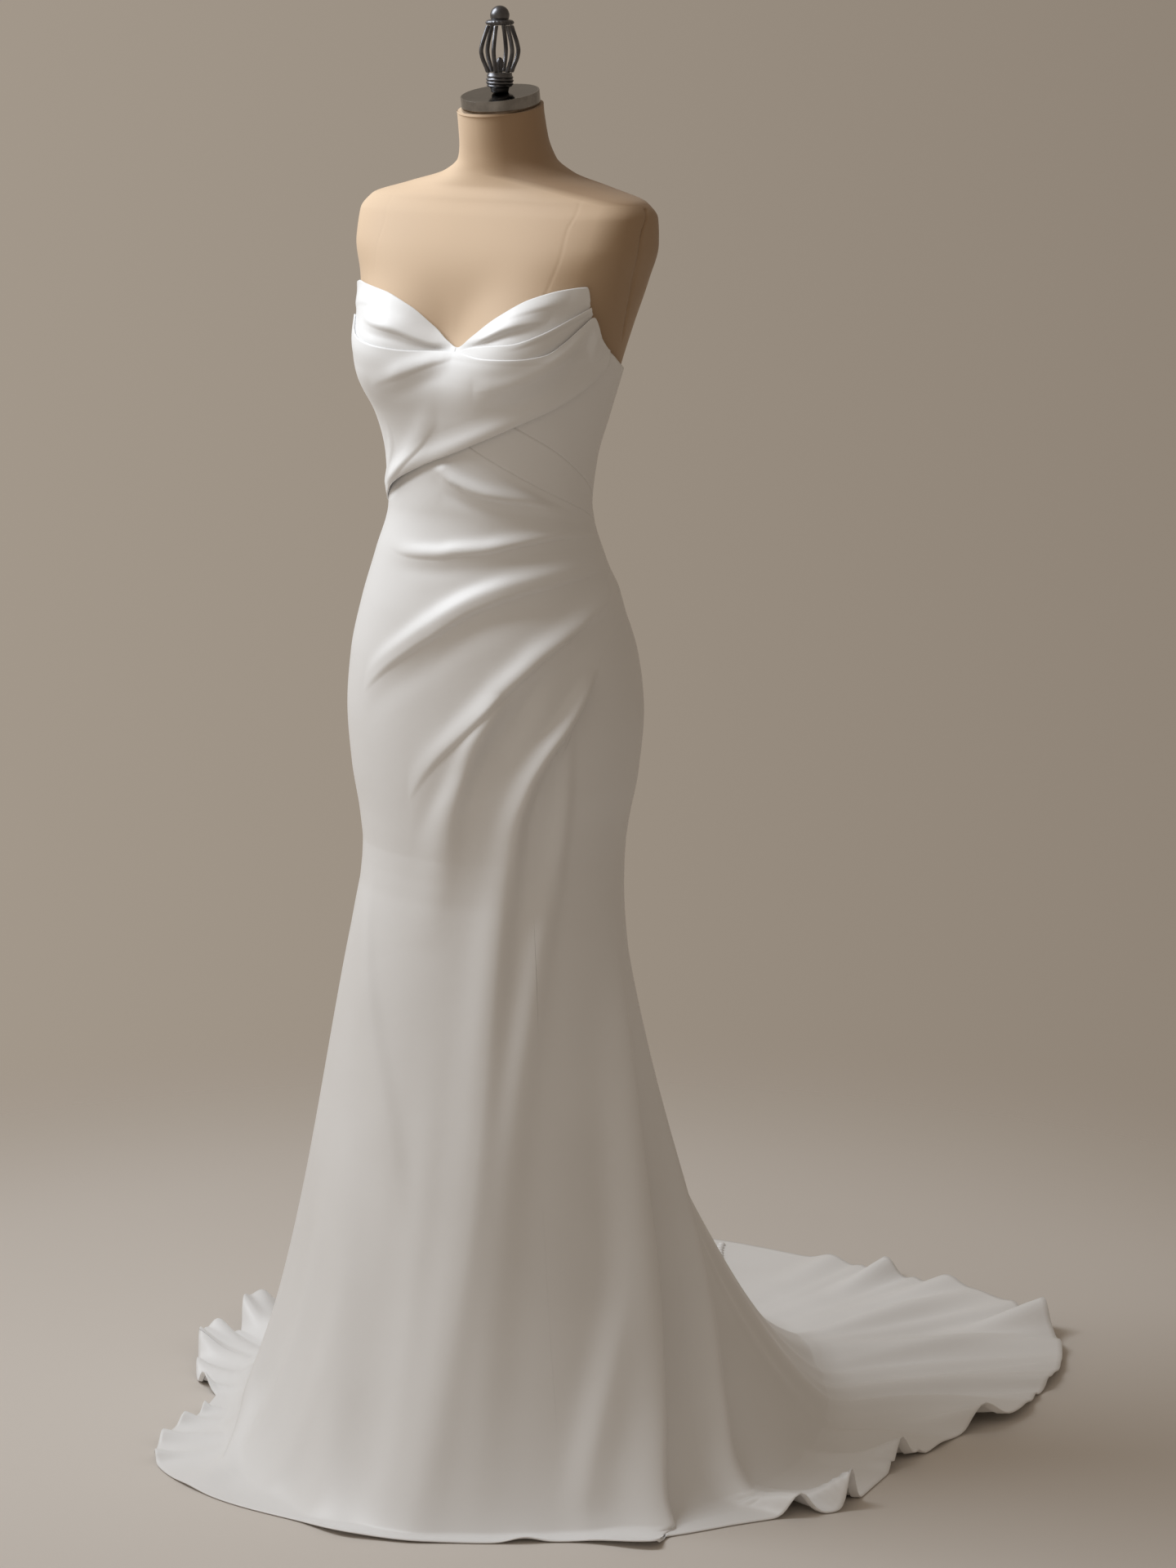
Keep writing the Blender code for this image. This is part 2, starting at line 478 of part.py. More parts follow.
def skirt_point(angle, level, ease):
    """Return points on the figure down to the knee, then on the flare down to the hem."""
    angle = np.asarray(angle, float) + 0 * np.asarray(level, float)
    level = np.asarray(level, float) + 0 * angle
    turn = np.radians(angle)
    on_figure = figure_point(angle, np.maximum(level, KNEE_LEVEL), ease)
    flare = {name: curve(angle) for name, curve in FLARE_CURVE.items()}
    landing = np.stack([flare["landing"] * np.sin(turn), -flare["landing"] * np.cos(turn)], -1)
    reach = landing - on_figure[..., :2]
    reach /= np.linalg.norm(reach, axis=-1, keepdims=True)
    t = np.clip(1 - level / KNEE_LEVEL, 0, 1)
    start, leave, arrive, end = (1 - t) ** 3, 3 * (1 - t) ** 2 * t, 3 * (1 - t) * t * t, t ** 3
    plan = on_figure[..., :2] * (start + leave)[..., None] + landing * (arrive + end)[..., None]
    plan += reach * (flare["out"] * leave - flare["run"] * arrive)[..., None]
    height = KNEE_LEVEL * start + (KNEE_LEVEL - flare["drop"]) * leave + flare["lift"] * arrive
    radius = flare["landing"] + (flare["hem"] - flare["landing"]) * np.clip(-level, 0, 1)
    on_floor = np.stack([radius * np.sin(turn), -radius * np.cos(turn)], -1)
    plan = np.where((level > 0)[..., None], plan, on_floor)
    height = np.where(level > 0, height, 0)
    plan = np.where((level > KNEE_LEVEL)[..., None], on_figure[..., :2], plan)
    height = np.where(level > KNEE_LEVEL, on_figure[..., 2], height)
    out, up = flare_folds(angle, level, np.linalg.norm(plan, axis=-1))
    plan += out[..., None] * np.stack([np.sin(turn), -np.cos(turn)], -1)
    return np.concatenate([plan, (height + up)[..., None]], -1)


def creases(angle, height, ridges):
    """Return how far a list of creases lifts the cloth."""
    total = 0 * (angle + height)
    for ridge in ridges:
        slope = (ridge["height"](angle + 1) - ridge["height"](angle - 1)) / (2 * math.radians(1) * 0.14)
        away = (height - ridge["height"](angle)) / np.sqrt(1 + slope ** 2)
        width = np.where(away > 0, ridge["above"], ridge["below"])
        total = total + ridge["rise"](angle) * np.exp(-(away / width) ** 2)
    return total


# ---- How far each kind of piece lies off the form -------------------------------------------
def skirt_ease(angle, level):
    clear_of_drape = blend(front_top(angle) - level, 0.007, 0.020)
    return FORM_GAP + creases(angle, level, HIP_PLEATS) * clear_of_drape


def plain_ease(angle, level):
    return FORM_GAP + 0 * (angle + level)


def cup_ease(angle, level):
    clear_of_drape = blend(level - CUP_RIGHT_LOW(angle), 0.000, 0.010)
    return FORM_GAP + creases(angle, level, CUP_CREASES) * clear_of_drape


def band_ease(angle, level):
    return FORM_GAP + LAYER + 0.0015 * blend(level, CUP_LEFT_LOW(angle) - 0.008, CUP_LEFT_LOW(angle) - 0.002)


def drape_ease(angle, level):
    """Lift the drape over what it covers at both edges, and roll its lower edge except at the side."""
    above_low = level - DRAPE_LOW(angle)
    below_top = DRAPE_TOP(angle) - level
    over_low = LAYER * (1 - blend(above_low, 0.008, 0.030))
    layers_on_top = 1 + blend(angle, 2, 12) * (1 - blend(angle, 72, 78))
    over_top = (layers_on_top * LAYER + 0.0012) * (1 - blend(below_top, 0.009, 0.034))
    roll = ROLL * blend(angle, RIGHT_SEAM, -50) * np.exp(-((above_low - 0.004) / 0.011) ** 2)
    return FORM_GAP + np.maximum(over_low + roll, over_top) + creases(angle, level, DRAPE_CREASES)


# ---- Lower and upper edges of the pieces ----------------------------------------------------
HALF_GAP = SEAM_GAP / 2
PLEAT_HALF_GAP = 1.6 * HALF_GAP    # the slanting seam needs a little more


def front_top(angle):
    return np.minimum(DRAPE_LOW(angle) + UNDERLAP, SIDE_SEAM_LOW(angle) - HALF_GAP)


def side_lower_top(angle):
    return np.minimum(DRAPE_LOW(angle) + UNDERLAP, SIDE_SEAM_HIGH(angle) - HALF_GAP)


def side_upper_top(angle):
    past_drape = 0.02 * blend(angle, 83, 87)    # beyond the drape's end the piece runs up to the neckline
    return np.minimum(DRAPE_LOW(angle) + UNDERLAP + past_drape, NECKLINE(angle))


def band_top(angle):
    return np.minimum(CUP_LEFT_LOW(angle), NECKLINE(angle))


def flat_edge(height):
    return lambda angle: height + 0 * np.asarray(angle, float)


def moved(curve, distance):
    return lambda angle: curve(angle) + distance


def pleat_seam(level, side):
    """Return the pleat seam's angle at a level, on the front's side (-1) or the side panel's (1)."""
    angle = np.interp(level, PLEAT_SEAM["level"], PLEAT_SEAM["angle"])
    step = 0.005
    turn = np.interp(level + step, PLEAT_SEAM["level"], PLEAT_SEAM["angle"]) - angle
    radius = np.linalg.norm(dress_point(angle, level, 0.0)[..., :2])
    slope = math.radians(turn) * radius / step
    return angle + side * math.degrees(PLEAT_HALF_GAP / radius) * math.sqrt(1 + slope ** 2)


def beside_seam(angle, level, side):
    """Return the angle half the seam gap away from a seam."""
    radius = np.linalg.norm(dress_point(angle, level, 0.0)[..., :2])
    return angle + side * math.degrees(HALF_GAP / radius)


def seam(angle, side):
    """Return a function that gives one side of an upright seam."""
    return lambda level: beside_seam(angle, level, side)


def back_seam(level):
    """Return the angle of the centre-back seam, which swings round on the train."""
    return CENTRE_BACK + TRAIN_TURN * blend(-level, -0.1, 1.0)


# ---- Meshes ---------------------------------------------------------------------------------
def material(name, colour, roughness, metallic=0.0):
    made = bpy.data.materials.new(name)
    made.use_nodes = True
    shader = made.node_tree.nodes["Principled BSDF"]
    shader.inputs["Base Color"].default_value = (*colour, 1.0)
    shader.inputs["Roughness"].default_value = roughness
    shader.inputs["Metallic"].default_value = metallic
    made.diffuse_color = (*colour, 1.0)
    return made


def add_object(name, points, faces, finish, parent, sharp_angle=40):
    mesh = bpy.data.meshes.new(name)
    mesh.from_pydata([tuple(map(float, point)) for point in points], [], faces)
    mesh.materials.append(finish)
    mesh.shade_smooth()
    mesh.set_sharp_from_angle(angle=math.radians(sharp_angle))
    made = bpy.data.objects.new(name, mesh)
    made.parent = parent
    bpy.context.scene.collection.objects.link(made)
    return made


def stitch(lower, upper, lower_share, upper_share):
    """Fill the strip between two rows of points that may differ in number with triangles."""
    faces = []
    i = j = 0
    while i < len(lower) - 1 or j < len(upper) - 1:
        step_lower = lower_share[i + 1] if i < len(lower) - 1 else math.inf
        step_upper = upper_share[j + 1] if j < len(upper) - 1 else math.inf
        if step_lower <= step_upper:
            faces.append((lower[i], lower[i + 1], upper[j]))
            i += 1
        else:
            faces.append((lower[i], upper[j + 1], upper[j]))
            j += 1
    return faces


def cloth_wall(name, rows, ease, wall, finish, parent):
    """Make one closed wall of cloth from rows of (angles, levels), the lowest row first."""
    shares = [np.linspace(0, 1, len(angles)) for angles, _ in rows]
    angles = np.concatenate([row[0] for row in rows])
    levels = np.concatenate([row[1] for row in rows])
    turn_step, level_step = 0.2, 0.001

    def surface(angle, level):
        return dress_point(angle, level, ease(angle, level))

    inner = surface(angles, levels)
    along = surface(angles + turn_step, levels) - surface(angles - turn_step, levels)
    floor_step = np.where(levels < 0.002, 0.02, level_step)
    upward = surface(angles, levels + level_step) - surface(angles, levels - floor_step)
    normal = np.cross(along, upward)
    normal /= np.linalg.norm(normal, axis=-1, keepdims=True)
    outer = inner + normal * wall
    points = np.concatenate([outer, inner])

    starts = np.cumsum([0] + [len(share) for share in shares])
    index = [list(range(starts[k], starts[k + 1])) for k in range(len(rows))]
    skin = []
    for k in range(len(rows) - 1):
        skin += stitch(index[k], index[k + 1], shares[k], shares[k + 1])
    behind = len(outer)
    faces = skin + [tuple(v + behind for v in reversed(face)) for face in skin]
    rim = index[0] + [row[-1] for row in index[1:-1]] + index[-1][::-1] + [row[0] for row in index[-2:0:-1]]
    for a, b in zip(rim, rim[1:] + rim[:1]):
        faces.append((b, a, a + behind, b + behind))
    return add_object(name, points, faces, finish, parent)


def level_rows(levels, left, right, spacing):
    """Make rows at set levels between two seams, with points about spacing(level) apart."""
    rows = []
    for level in levels:
        low, high = left(level), right(level)
        middle = dress_point(np.linspace(low, high, 9), level, 0.0)
        length = np.linalg.norm(np.diff(middle, axis=0), axis=-1).sum()
        count = max(2, int(round(length / spacing(level))) + 1)
        rows.append((np.linspace(low, high, count), np.full(count, float(level))))
    return rows


def band_rows(low, high, bottom, top, columns, count, skip_first=False):
    """Make rows that turn from one edge curve to another, with the same number of points each."""
    angles = np.linspace(low, high, columns + 1)
    shares = np.linspace(0, 1, count + 1)[1 if skip_first else 0:]
    return [(angles, bottom(angles) + (top(angles) - bottom(angles)) * share) for share in shares]


def turned(name, profile, sides, finish, parent, tilt=0.0, tilted=0, sharp_angle=40):
    """Turn a profile of (radius, height), lowest first. The first tilted rings follow the cap's lean."""
    points = []
    for k, (radius, height) in enumerate(profile):
        for i in range(sides):
            turn = 2 * math.pi * i / sides
            y = radius * math.sin(turn)
            lean = math.tan(tilt) * y if k < tilted else 0.0
            points.append((radius * math.cos(turn), y, height + lean))
    faces = [tuple(range(sides))[::-1]]
    for k in range(len(profile) - 1):
        for i in range(sides):
            j = (i + 1) % sides
            faces.append((k * sides + i, k * sides + j, (k + 1) * sides + j, (k + 1) * sides + i))
    faces.append(tuple(range((len(profile) - 1) * sides, len(profile) * sides)))
    return add_object(name, points, faces, finish, parent, sharp_angle)


# ---- The form and its stand -----------------------------------------------------------------
FORM_TOP_HEIGHTS = (1.375, 1.39, 1.405, 1.42, 1.432, 1.441, 1.449, 1.456, 1.464, 1.473, 1.484, 1.498, 1.515)


def build_form(finish, parent):
    """A smooth limbless form, its neck cut to the cap's lean and its bust just clear of the cups."""
    heights = [*np.arange(FORM_LOW, 1.04, 0.03), *np.arange(1.05, 1.36, 0.02), *FORM_TOP_HEIGHTS]
    neck_top = CAP_TOP - CAP_THICK / math.cos(CAP_TILT) - SEAM_GAP
    points = []
    rings = []
    for height in heights + [neck_top]:
        under_cups = blend(height, 1.19, 1.22) * (1 - blend(height, 1.36, 1.40))
        count = FORM_COLUMNS_BUST if 1.21 < height < 1.38 else FORM_COLUMNS
        angles = np.arange(count) * 360 / count - 180
        under_dress = DRESS_CLEAR * (1 - blend(height, 1.19, 1.40))
        ring = figure_point(angles, np.full(count, height), -CUP_CLEAR * under_cups - under_dress)
        if height == neck_top:
            ring[:, 2] += math.tan(CAP_TILT) * ring[:, 1]
        rings.append(list(range(len(points), len(points) + count)))
        points += list(ring)
    faces = [tuple(rings[0][::-1]), tuple(rings[-1])]
    for low, high in zip(rings, rings[1:]):
        faces += stitch(low + low[:1], high + high[:1], np.linspace(0, 1, len(low) + 1),
                        np.linspace(0, 1, len(high) + 1))
    add_object("form_torso", points, faces, finish, parent)


def build_stand(steel, dark_steel, parent):
    turned("stand_foot", [(FOOT_RADIUS, 0.0), (FOOT_RADIUS, FOOT_THICK * 0.6),
                          (FOOT_RADIUS - 0.006, FOOT_THICK)], 24, dark_steel, parent)
    turned("stand_pole", [(POLE_RADIUS, FOOT_THICK + SEAM_GAP), (POLE_RADIUS, FORM_LOW - SEAM_GAP)],
           12, steel, parent)


def build_cap(steel, parent):
    """The disc on the neck, leaning forward about the X axis."""
    edge_round = 0.0015
    profile = [(CAP_RADIUS - edge_round, -CAP_THICK), (CAP_RADIUS, -CAP_THICK + edge_round),
               (CAP_RADIUS, -edge_round), (CAP_RADIUS - edge_round, 0.0)]
    cap = turned("neck_cap", profile, 24, steel, parent)
    cap.location = (0, 0, CAP_TOP)
    cap.rotation_euler = (CAP_TILT, 0, 0)


def build_finial(finish, parent):
    """A ball and crown over a cage of bent bars, on a collar cut to the cap's lean."""
    collar_low = CAP_TOP + SEAM_GAP + 0.0002
    collar_top = CAP_TOP + COLLAR_HEIGHT
    collar = [(COLLAR_RADIUS, collar_low), (COLLAR_RADIUS, collar_low + 0.004),
              (COLLAR_RADIUS - 0.0036, collar_low + 0.007), (COLLAR_RADIUS - 0.0036, collar_low + 0.013),
              (COLLAR_RADIUS, collar_low + 0.0155), (COLLAR_RADIUS, collar_top - 0.0015),
              (COLLAR_RADIUS - 0.0012, collar_top)]
    turned("finial_collar", collar, 14, finish, parent, tilt=CAP_TILT, tilted=2)
    turned("finial_stub", [(0.0032, collar_top + SEAM_GAP), (0.0044, collar_top + 0.006),
                           (0.0044, collar_top + 0.012), (0.0016, collar_top + 0.017)], 8, finish, parent)
    ball_centre = CAP_TOP + FINIAL_HEIGHT - BALL_RADIUS
    crown_top = ball_centre - BALL_RADIUS + BALL_SUNK
    crown_low = crown_top - CROWN_THICK
    turned("finial_crown", [(CROWN_RADIUS - 0.0004, crown_low), (CROWN_RADIUS, crown_low + 0.002),
                            (CROWN_RADIUS - 0.002, crown_top)], 14, finish, parent)
    cut = crown_top + SEAM_GAP - ball_centre
    tilts = np.linspace(math.asin(cut / BALL_RADIUS), math.radians(74), 6)
    ball = [(BALL_RADIUS * math.cos(tilt), ball_centre + BALL_RADIUS * math.sin(tilt)) for tilt in tilts]
    turned("finial_ball", ball, 12, finish, parent)
    for i in range(BAR_COUNT):
        turn = 360 * i / BAR_COUNT + BAR_TURN
        build_bar("finial_bar_%d" % (i + 1), turn, collar_top, crown_low, finish, parent)


def build_bar(name, turn, low, high, finish, parent):
    """One bent bar of the cage, upright at both ends."""
    sides, steps = 6, 7
    belly = smooth(*CAGE)
    heights = np.linspace(low + SEAM_GAP, high - SEAM_GAP, steps + 1)
    turn = math.radians(turn)
    points = []
    for height in heights:
        share = (height - heights[0]) / (heights[-1] - heights[0])
        out = float(belly(share))
        for i in range(sides):
            around = 2 * math.pi * i / sides
            radial = out + BAR_RADIUS * math.cos(around)
            across = BAR_RADIUS * math.sin(around)
            points.append((radial * math.cos(turn) - across * math.sin(turn),
                           radial * math.sin(turn) + across * math.cos(turn), height))
    faces = [tuple(range(sides))[::-1]]
    for k in range(steps):
        for i in range(sides):
            j = (i + 1) % sides
            faces.append((k * sides + i, k * sides + j, (k + 1) * sides + j, (k + 1) * sides + i))
    faces.append(tuple(range(steps * sides, (steps + 1) * sides)))
    add_object(name, points, faces, finish, parent)


# ---- The dress ------------------------------------------------------------------------------
# Panels that meet at a seam share their levels, so that their edges run side by side.
PLEAT_LEVELS = list(np.arange(0.725, WAIST_SEAM - 0.001, 0.0125))
SWEEP_LEVELS = [0.045, 0.10, 0.17, 0.26, 0.36, 0.47, 0.57, 0.65]
FLOOR_LEVELS = [-1, -0.84, -0.66, -0.46, -0.24, 0]
HIP_LEVELS = PLEAT_LEVELS[0:9:3] + PLEAT_LEVELS[10:25:2]
FRONT_LEVELS = [-1, -0.46, 0] + SWEEP_LEVELS + PLEAT_LEVELS
SIDE_LEVELS = ([-1, -0.66, -0.24, 0] + SWEEP_LEVELS + [level for level in PLEAT_LEVELS if level < 0.98]
               + [0.9865])
TRAIN_LEVELS = FLOOR_LEVELS + SWEEP_LEVELS + HIP_LEVELS + [WAIST_SEAM - HALF_GAP]


def front_spacing(level):
    return np.interp(level, (0.0, 0.3, 0.7, 0.8), (0.032, 0.029, 0.022, 0.0195))


def side_spacing(level):
    return np.interp(level, (0.0, 0.3, 0.7, 0.8, 1.0, WAIST_SEAM), (0.030, 0.030, 0.026, 0.020, 0.020, 0.013))


def train_spacing(level):
    return np.interp(level, (-1, 0.0, 0.3, 0.7, 0.8, 1.0, WAIST_SEAM),
                     (0.029, 0.032, 0.034, 0.030, 0.021, 0.021, 0.013))


def front_left_edge(level):
    if level < PLEAT_SEAM["level"][-1]:
        return pleat_seam(level, -1)
    return seam(LEFT_SEAM, -1)(level)


def build_skirt(satin, parent):
    right = seam(RIGHT_SEAM, 1)
    rows = level_rows(FRONT_LEVELS, right, front_left_edge, front_spacing)
    low, high = right(WAIST_SEAM), seam(LEFT_SEAM, -1)(WAIST_SEAM)
    columns = len(rows[-1][0]) - 1
    rows += band_rows(low, high, flat_edge(PLEAT_LEVELS[-1]), front_top, columns, 8, skip_first=True)
    cloth_wall("skirt_front", rows, skirt_ease, SKIRT_WALL, satin, parent)

    rows = level_rows(SIDE_LEVELS, lambda level: pleat_seam(level, 1), seam(LEFT_SEAM, -1), side_spacing)
    cloth_wall("skirt_side_left", rows, skirt_ease, SKIRT_WALL, satin, parent)
    rows = level_rows(TRAIN_LEVELS, seam(RIGHT_BACK_SEAM, 1), seam(RIGHT_SEAM, -1), side_spacing)
    cloth_wall("skirt_side_right", rows, skirt_ease, SKIRT_WALL, satin, parent)
    rows = level_rows(TRAIN_LEVELS, seam(LEFT_SEAM, 1),
                      lambda level: beside_seam(back_seam(level), level, -1), train_spacing)
    cloth_wall("train_left", rows, plain_ease, SKIRT_WALL, satin, parent)
    rows = level_rows(TRAIN_LEVELS, lambda level: beside_seam(back_seam(level) - 360, level, 1),
                      seam(RIGHT_BACK_SEAM, -1), train_spacing)
    cloth_wall("train_right", rows, plain_ease, SKIRT_WALL, satin, parent)


BACK_ROWS = 9
# Each piece of the bodice: its angles, its lower and upper edges, columns, rows and ease.
BODICE = {
    "back_left": (seam(LEFT_SEAM, 1), seam(CENTRE_BACK, -1), flat_edge(WAIST_SEAM + HALF_GAP), NECKLINE,
                  12, BACK_ROWS, plain_ease),
    "back_right": (seam(-CENTRE_BACK, 1), seam(RIGHT_SEAM, -1), flat_edge(WAIST_SEAM + HALF_GAP), NECKLINE,
                   15, BACK_ROWS, plain_ease),
    "side_left_lower": (lambda level: 15.0, seam(LEFT_SEAM, -1), moved(SIDE_SEAM_LOW, HALF_GAP),
                        side_lower_top, 18, 3, plain_ease),
    "side_left_upper": (lambda level: 38.0, seam(LEFT_SEAM, -1), moved(SIDE_SEAM_HIGH, HALF_GAP),
                        side_upper_top, 12, 5, plain_ease),
    "cup_right": (seam(RIGHT_SEAM, 1), seam(NOTCH_ANGLE, -1), moved(CUP_RIGHT_LOW, -UNDERLAP), NECKLINE,
                  20, 5, cup_ease),
    "cup_left": (seam(NOTCH_ANGLE, 1), lambda level: 63.5, moved(CUP_LEFT_LOW, -UNDERLAP), NECKLINE,
                 14, 5, plain_ease),
    "drape_band": (lambda level: 9.0, lambda level: 66.5, moved(DRAPE_TOP, -UNDERLAP), band_top,
                   14, 3, band_ease),
    "bust_drape": (seam(RIGHT_SEAM, 1), lambda level: 87.0, DRAPE_LOW, DRAPE_TOP, 29, 11, drape_ease),
}


def build_bodice(satin, parent):
    for name, (left, right, bottom, top, columns, count, ease) in BODICE.items():
        middle = 1.2
        rows = band_rows(left(middle), right(middle), bottom, top, columns, count)
        cloth_wall(name, rows, ease, BODICE_WALL, satin, parent)


def build_buttons(satin, parent):
    """Covered buttons down the centre back, each one square to the flat of the cloth under it."""
    bodice_levels = np.linspace(WAIST_SEAM, NECKLINE(CENTRE_BACK), BACK_ROWS + 1)
    levels = np.concatenate([bodice_levels[::-1], TRAIN_LEVELS[-2::-1]])
    levels = levels[levels >= BUTTON_LAST]
    path = dress_point(back_seam(levels), levels, FORM_GAP)
    marks = np.concatenate([[0], np.cumsum(np.linalg.norm(np.diff(path, axis=0), axis=-1))])
    clear = BUTTON_RADIUS + 0.001
    first = float(np.interp(-BUTTON_TOP, -path[:, 2], marks))
    for i in range(BUTTON_COUNT):
        place = first + (marks[-1] - clear - first) * i / (BUTTON_COUNT - 1)
        k = int(np.clip(np.searchsorted(marks, place) - 1, 0, len(marks) - 2))
        place = np.clip(place, marks[k] + clear, marks[k + 1] - clear)
        downward = (path[k + 1] - path[k]) / (marks[k + 1] - marks[k])
        turn = math.radians(back_seam(levels[k]))
        normal = np.cross(downward, (math.cos(turn), math.sin(turn), 0.0))
        normal /= np.linalg.norm(normal)
        seat = path[k] + downward * (place - marks[k]) + normal * (SKIRT_WALL + 1.5 * SEAM_GAP)
        profile = [(BUTTON_RADIUS, 0.0), (BUTTON_RADIUS, 0.4 * BUTTON_HEIGHT),
                   (0.6 * BUTTON_RADIUS, BUTTON_HEIGHT)]
        button = turned("button_%02d" % (i + 1), profile, 8, satin, parent)
        button.location = [float(value) for value in seat]
        button.rotation_euler = Vector(normal).to_track_quat("Z", "Y").to_euler()


def main():
    for old in list(bpy.data.objects):
        bpy.data.objects.remove(old, do_unlink=True)
    root = bpy.data.objects.new("wedding_dress_on_form", None)
    bpy.context.scene.collection.objects.link(root)
    satin = material("satin", (0.86, 0.86, 0.84), 0.38)
    linen = material("linen_cover", (0.64, 0.49, 0.34), 0.80)
    brushed = material("brushed_cap_steel", (0.42, 0.40, 0.38), 0.30, 1.0)
    dark = material("dark_iron", (0.10, 0.10, 0.11), 0.42, 1.0)
    build_form(linen, root)
    build_stand(brushed, dark, root)
    build_cap(brushed, root)
    build_finial(dark, root)
    build_skirt(satin, root)
    build_bodice(satin, root)
    build_buttons(satin, root)


main()
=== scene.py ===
import math

import bpy
import numpy as np
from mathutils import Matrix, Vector


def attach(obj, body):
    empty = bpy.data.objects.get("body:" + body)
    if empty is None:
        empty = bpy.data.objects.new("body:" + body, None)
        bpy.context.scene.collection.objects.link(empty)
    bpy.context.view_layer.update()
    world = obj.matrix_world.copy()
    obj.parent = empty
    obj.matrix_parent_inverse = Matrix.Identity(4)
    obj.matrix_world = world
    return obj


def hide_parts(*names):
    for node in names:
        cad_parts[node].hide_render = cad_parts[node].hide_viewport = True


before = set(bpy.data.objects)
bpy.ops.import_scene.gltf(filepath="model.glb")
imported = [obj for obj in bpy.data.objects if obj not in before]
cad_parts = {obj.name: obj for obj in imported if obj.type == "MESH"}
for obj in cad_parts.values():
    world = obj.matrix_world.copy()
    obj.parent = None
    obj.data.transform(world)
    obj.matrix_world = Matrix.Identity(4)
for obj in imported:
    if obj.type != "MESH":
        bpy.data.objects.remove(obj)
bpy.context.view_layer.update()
print("frame loaded")

# Metres, +Z up. The wearer faces -Y and their left is +X. Angles are degrees round the figure:
# 0 at the front, 90 at the wearer's left, 180 at the centre back. A level is a height above the
# floor; from 0 to -1 it is the stretch of skirt that lies on the floor, from where it lands to
# its hem.
seamGap = 0.0003
bodiceWall = 0.0018
skirtWall = 0.0020
figureRadius = 0.14          # of the figure on average, where a turn is measured as a length
formGap = 0.0006             # between the form and the cloth that lies on it
layer = skirtWall - 0.0002   # how far one piece of cloth lifts to lie over another
underlap = 0.005             # how far a lower piece runs on under the one that covers it
rollHeight = 0.0040          # how far the drape's turned-under edges stand up
kneeLevel = 0.69             # the skirt flares below this
kneeRound = 0.035
floorRound = 0.030           # half the length of cloth that bends where the skirt meets the floor
waistSeam = 1.05             # where the back of the skirt meets the bodice
leftSeam = 112.0             # angle of the side-back seam on the wearer's left
rightSeam = -88.0
rightBackSeam = -118.0
centreBack = 180.0
trainTurn = 10.0             # how far round the centre back seam has turned at the train's hem


def readTable(columns, rows):  # read rows into one array for each named column
    return dict(zip(columns.split(), np.array(rows, float).T))


def bell(away, half):  # 1 in the middle, and smoothly down to 0 on both sides
    return np.exp(-(away / half) ** 2)


def unit(vectors):
    return vectors / np.maximum(np.linalg.norm(vectors, axis=-1, keepdims=True), 1e-12)


# The figure: sections through a general figure, from below the hip to the neck
figureTable = readTable("height halfWidth front back centre squareness", [
    (0.64, 0.156, 0.133, 0.133, -0.013, 2),
    (0.69, 0.153, 0.133, 0.133, -0.013, 2),    # knee, the narrowest of the skirt
    (0.74, 0.159, 0.134, 0.138, -0.013, 2),
    (0.8, 0.171, 0.134, 0.142, -0.013, 2.05),
    (0.87, 0.177, 0.132, 0.143, -0.013, 2.1),    # hip
    (0.93, 0.171, 0.129, 0.139, -0.014, 2.1),
    (0.99, 0.155, 0.122, 0.123, -0.016, 2.1),
    (1.05, 0.135, 0.108, 0.1, -0.018, 2.1),
    (1.105, 0.12, 0.095, 0.087, -0.018, 2.1),    # waist
    (1.16, 0.124, 0.098, 0.092, -0.016, 2.15),
    (1.21, 0.135, 0.108, 0.106, -0.013, 2.2),
    (1.26, 0.148, 0.118, 0.118, -0.01, 2.2),    # bust
    (1.31, 0.16, 0.113, 0.124, -0.004, 2.3),
    (1.36, 0.175, 0.098, 0.112, 0.004, 2.6),
    (1.4, 0.186, 0.08, 0.088, 0.01, 2.9),
    (1.43, 0.189, 0.066, 0.068, 0.014, 2.8),    # shoulder
    (1.447, 0.178, 0.056, 0.06, 0.015, 2.5),
    (1.462, 0.13, 0.052, 0.056, 0.019, 2.2),
    (1.476, 0.08, 0.05, 0.054, 0.018, 2.1),
    (1.492, 0.057, 0.049, 0.053, 0.014, 2),
    (1.515, 0.0505, 0.0475, 0.051, 0.007, 2),
    (1.55, 0.049, 0.0465, 0.048, 0, 2),    # neck
])
cupShape = dict(angle=36.0, spread=24.0, height=1.282, tall=0.048, rise=0.020)
sternumShape = dict(spread=17.0, height=1.305, tall=0.055, depth=0.024)

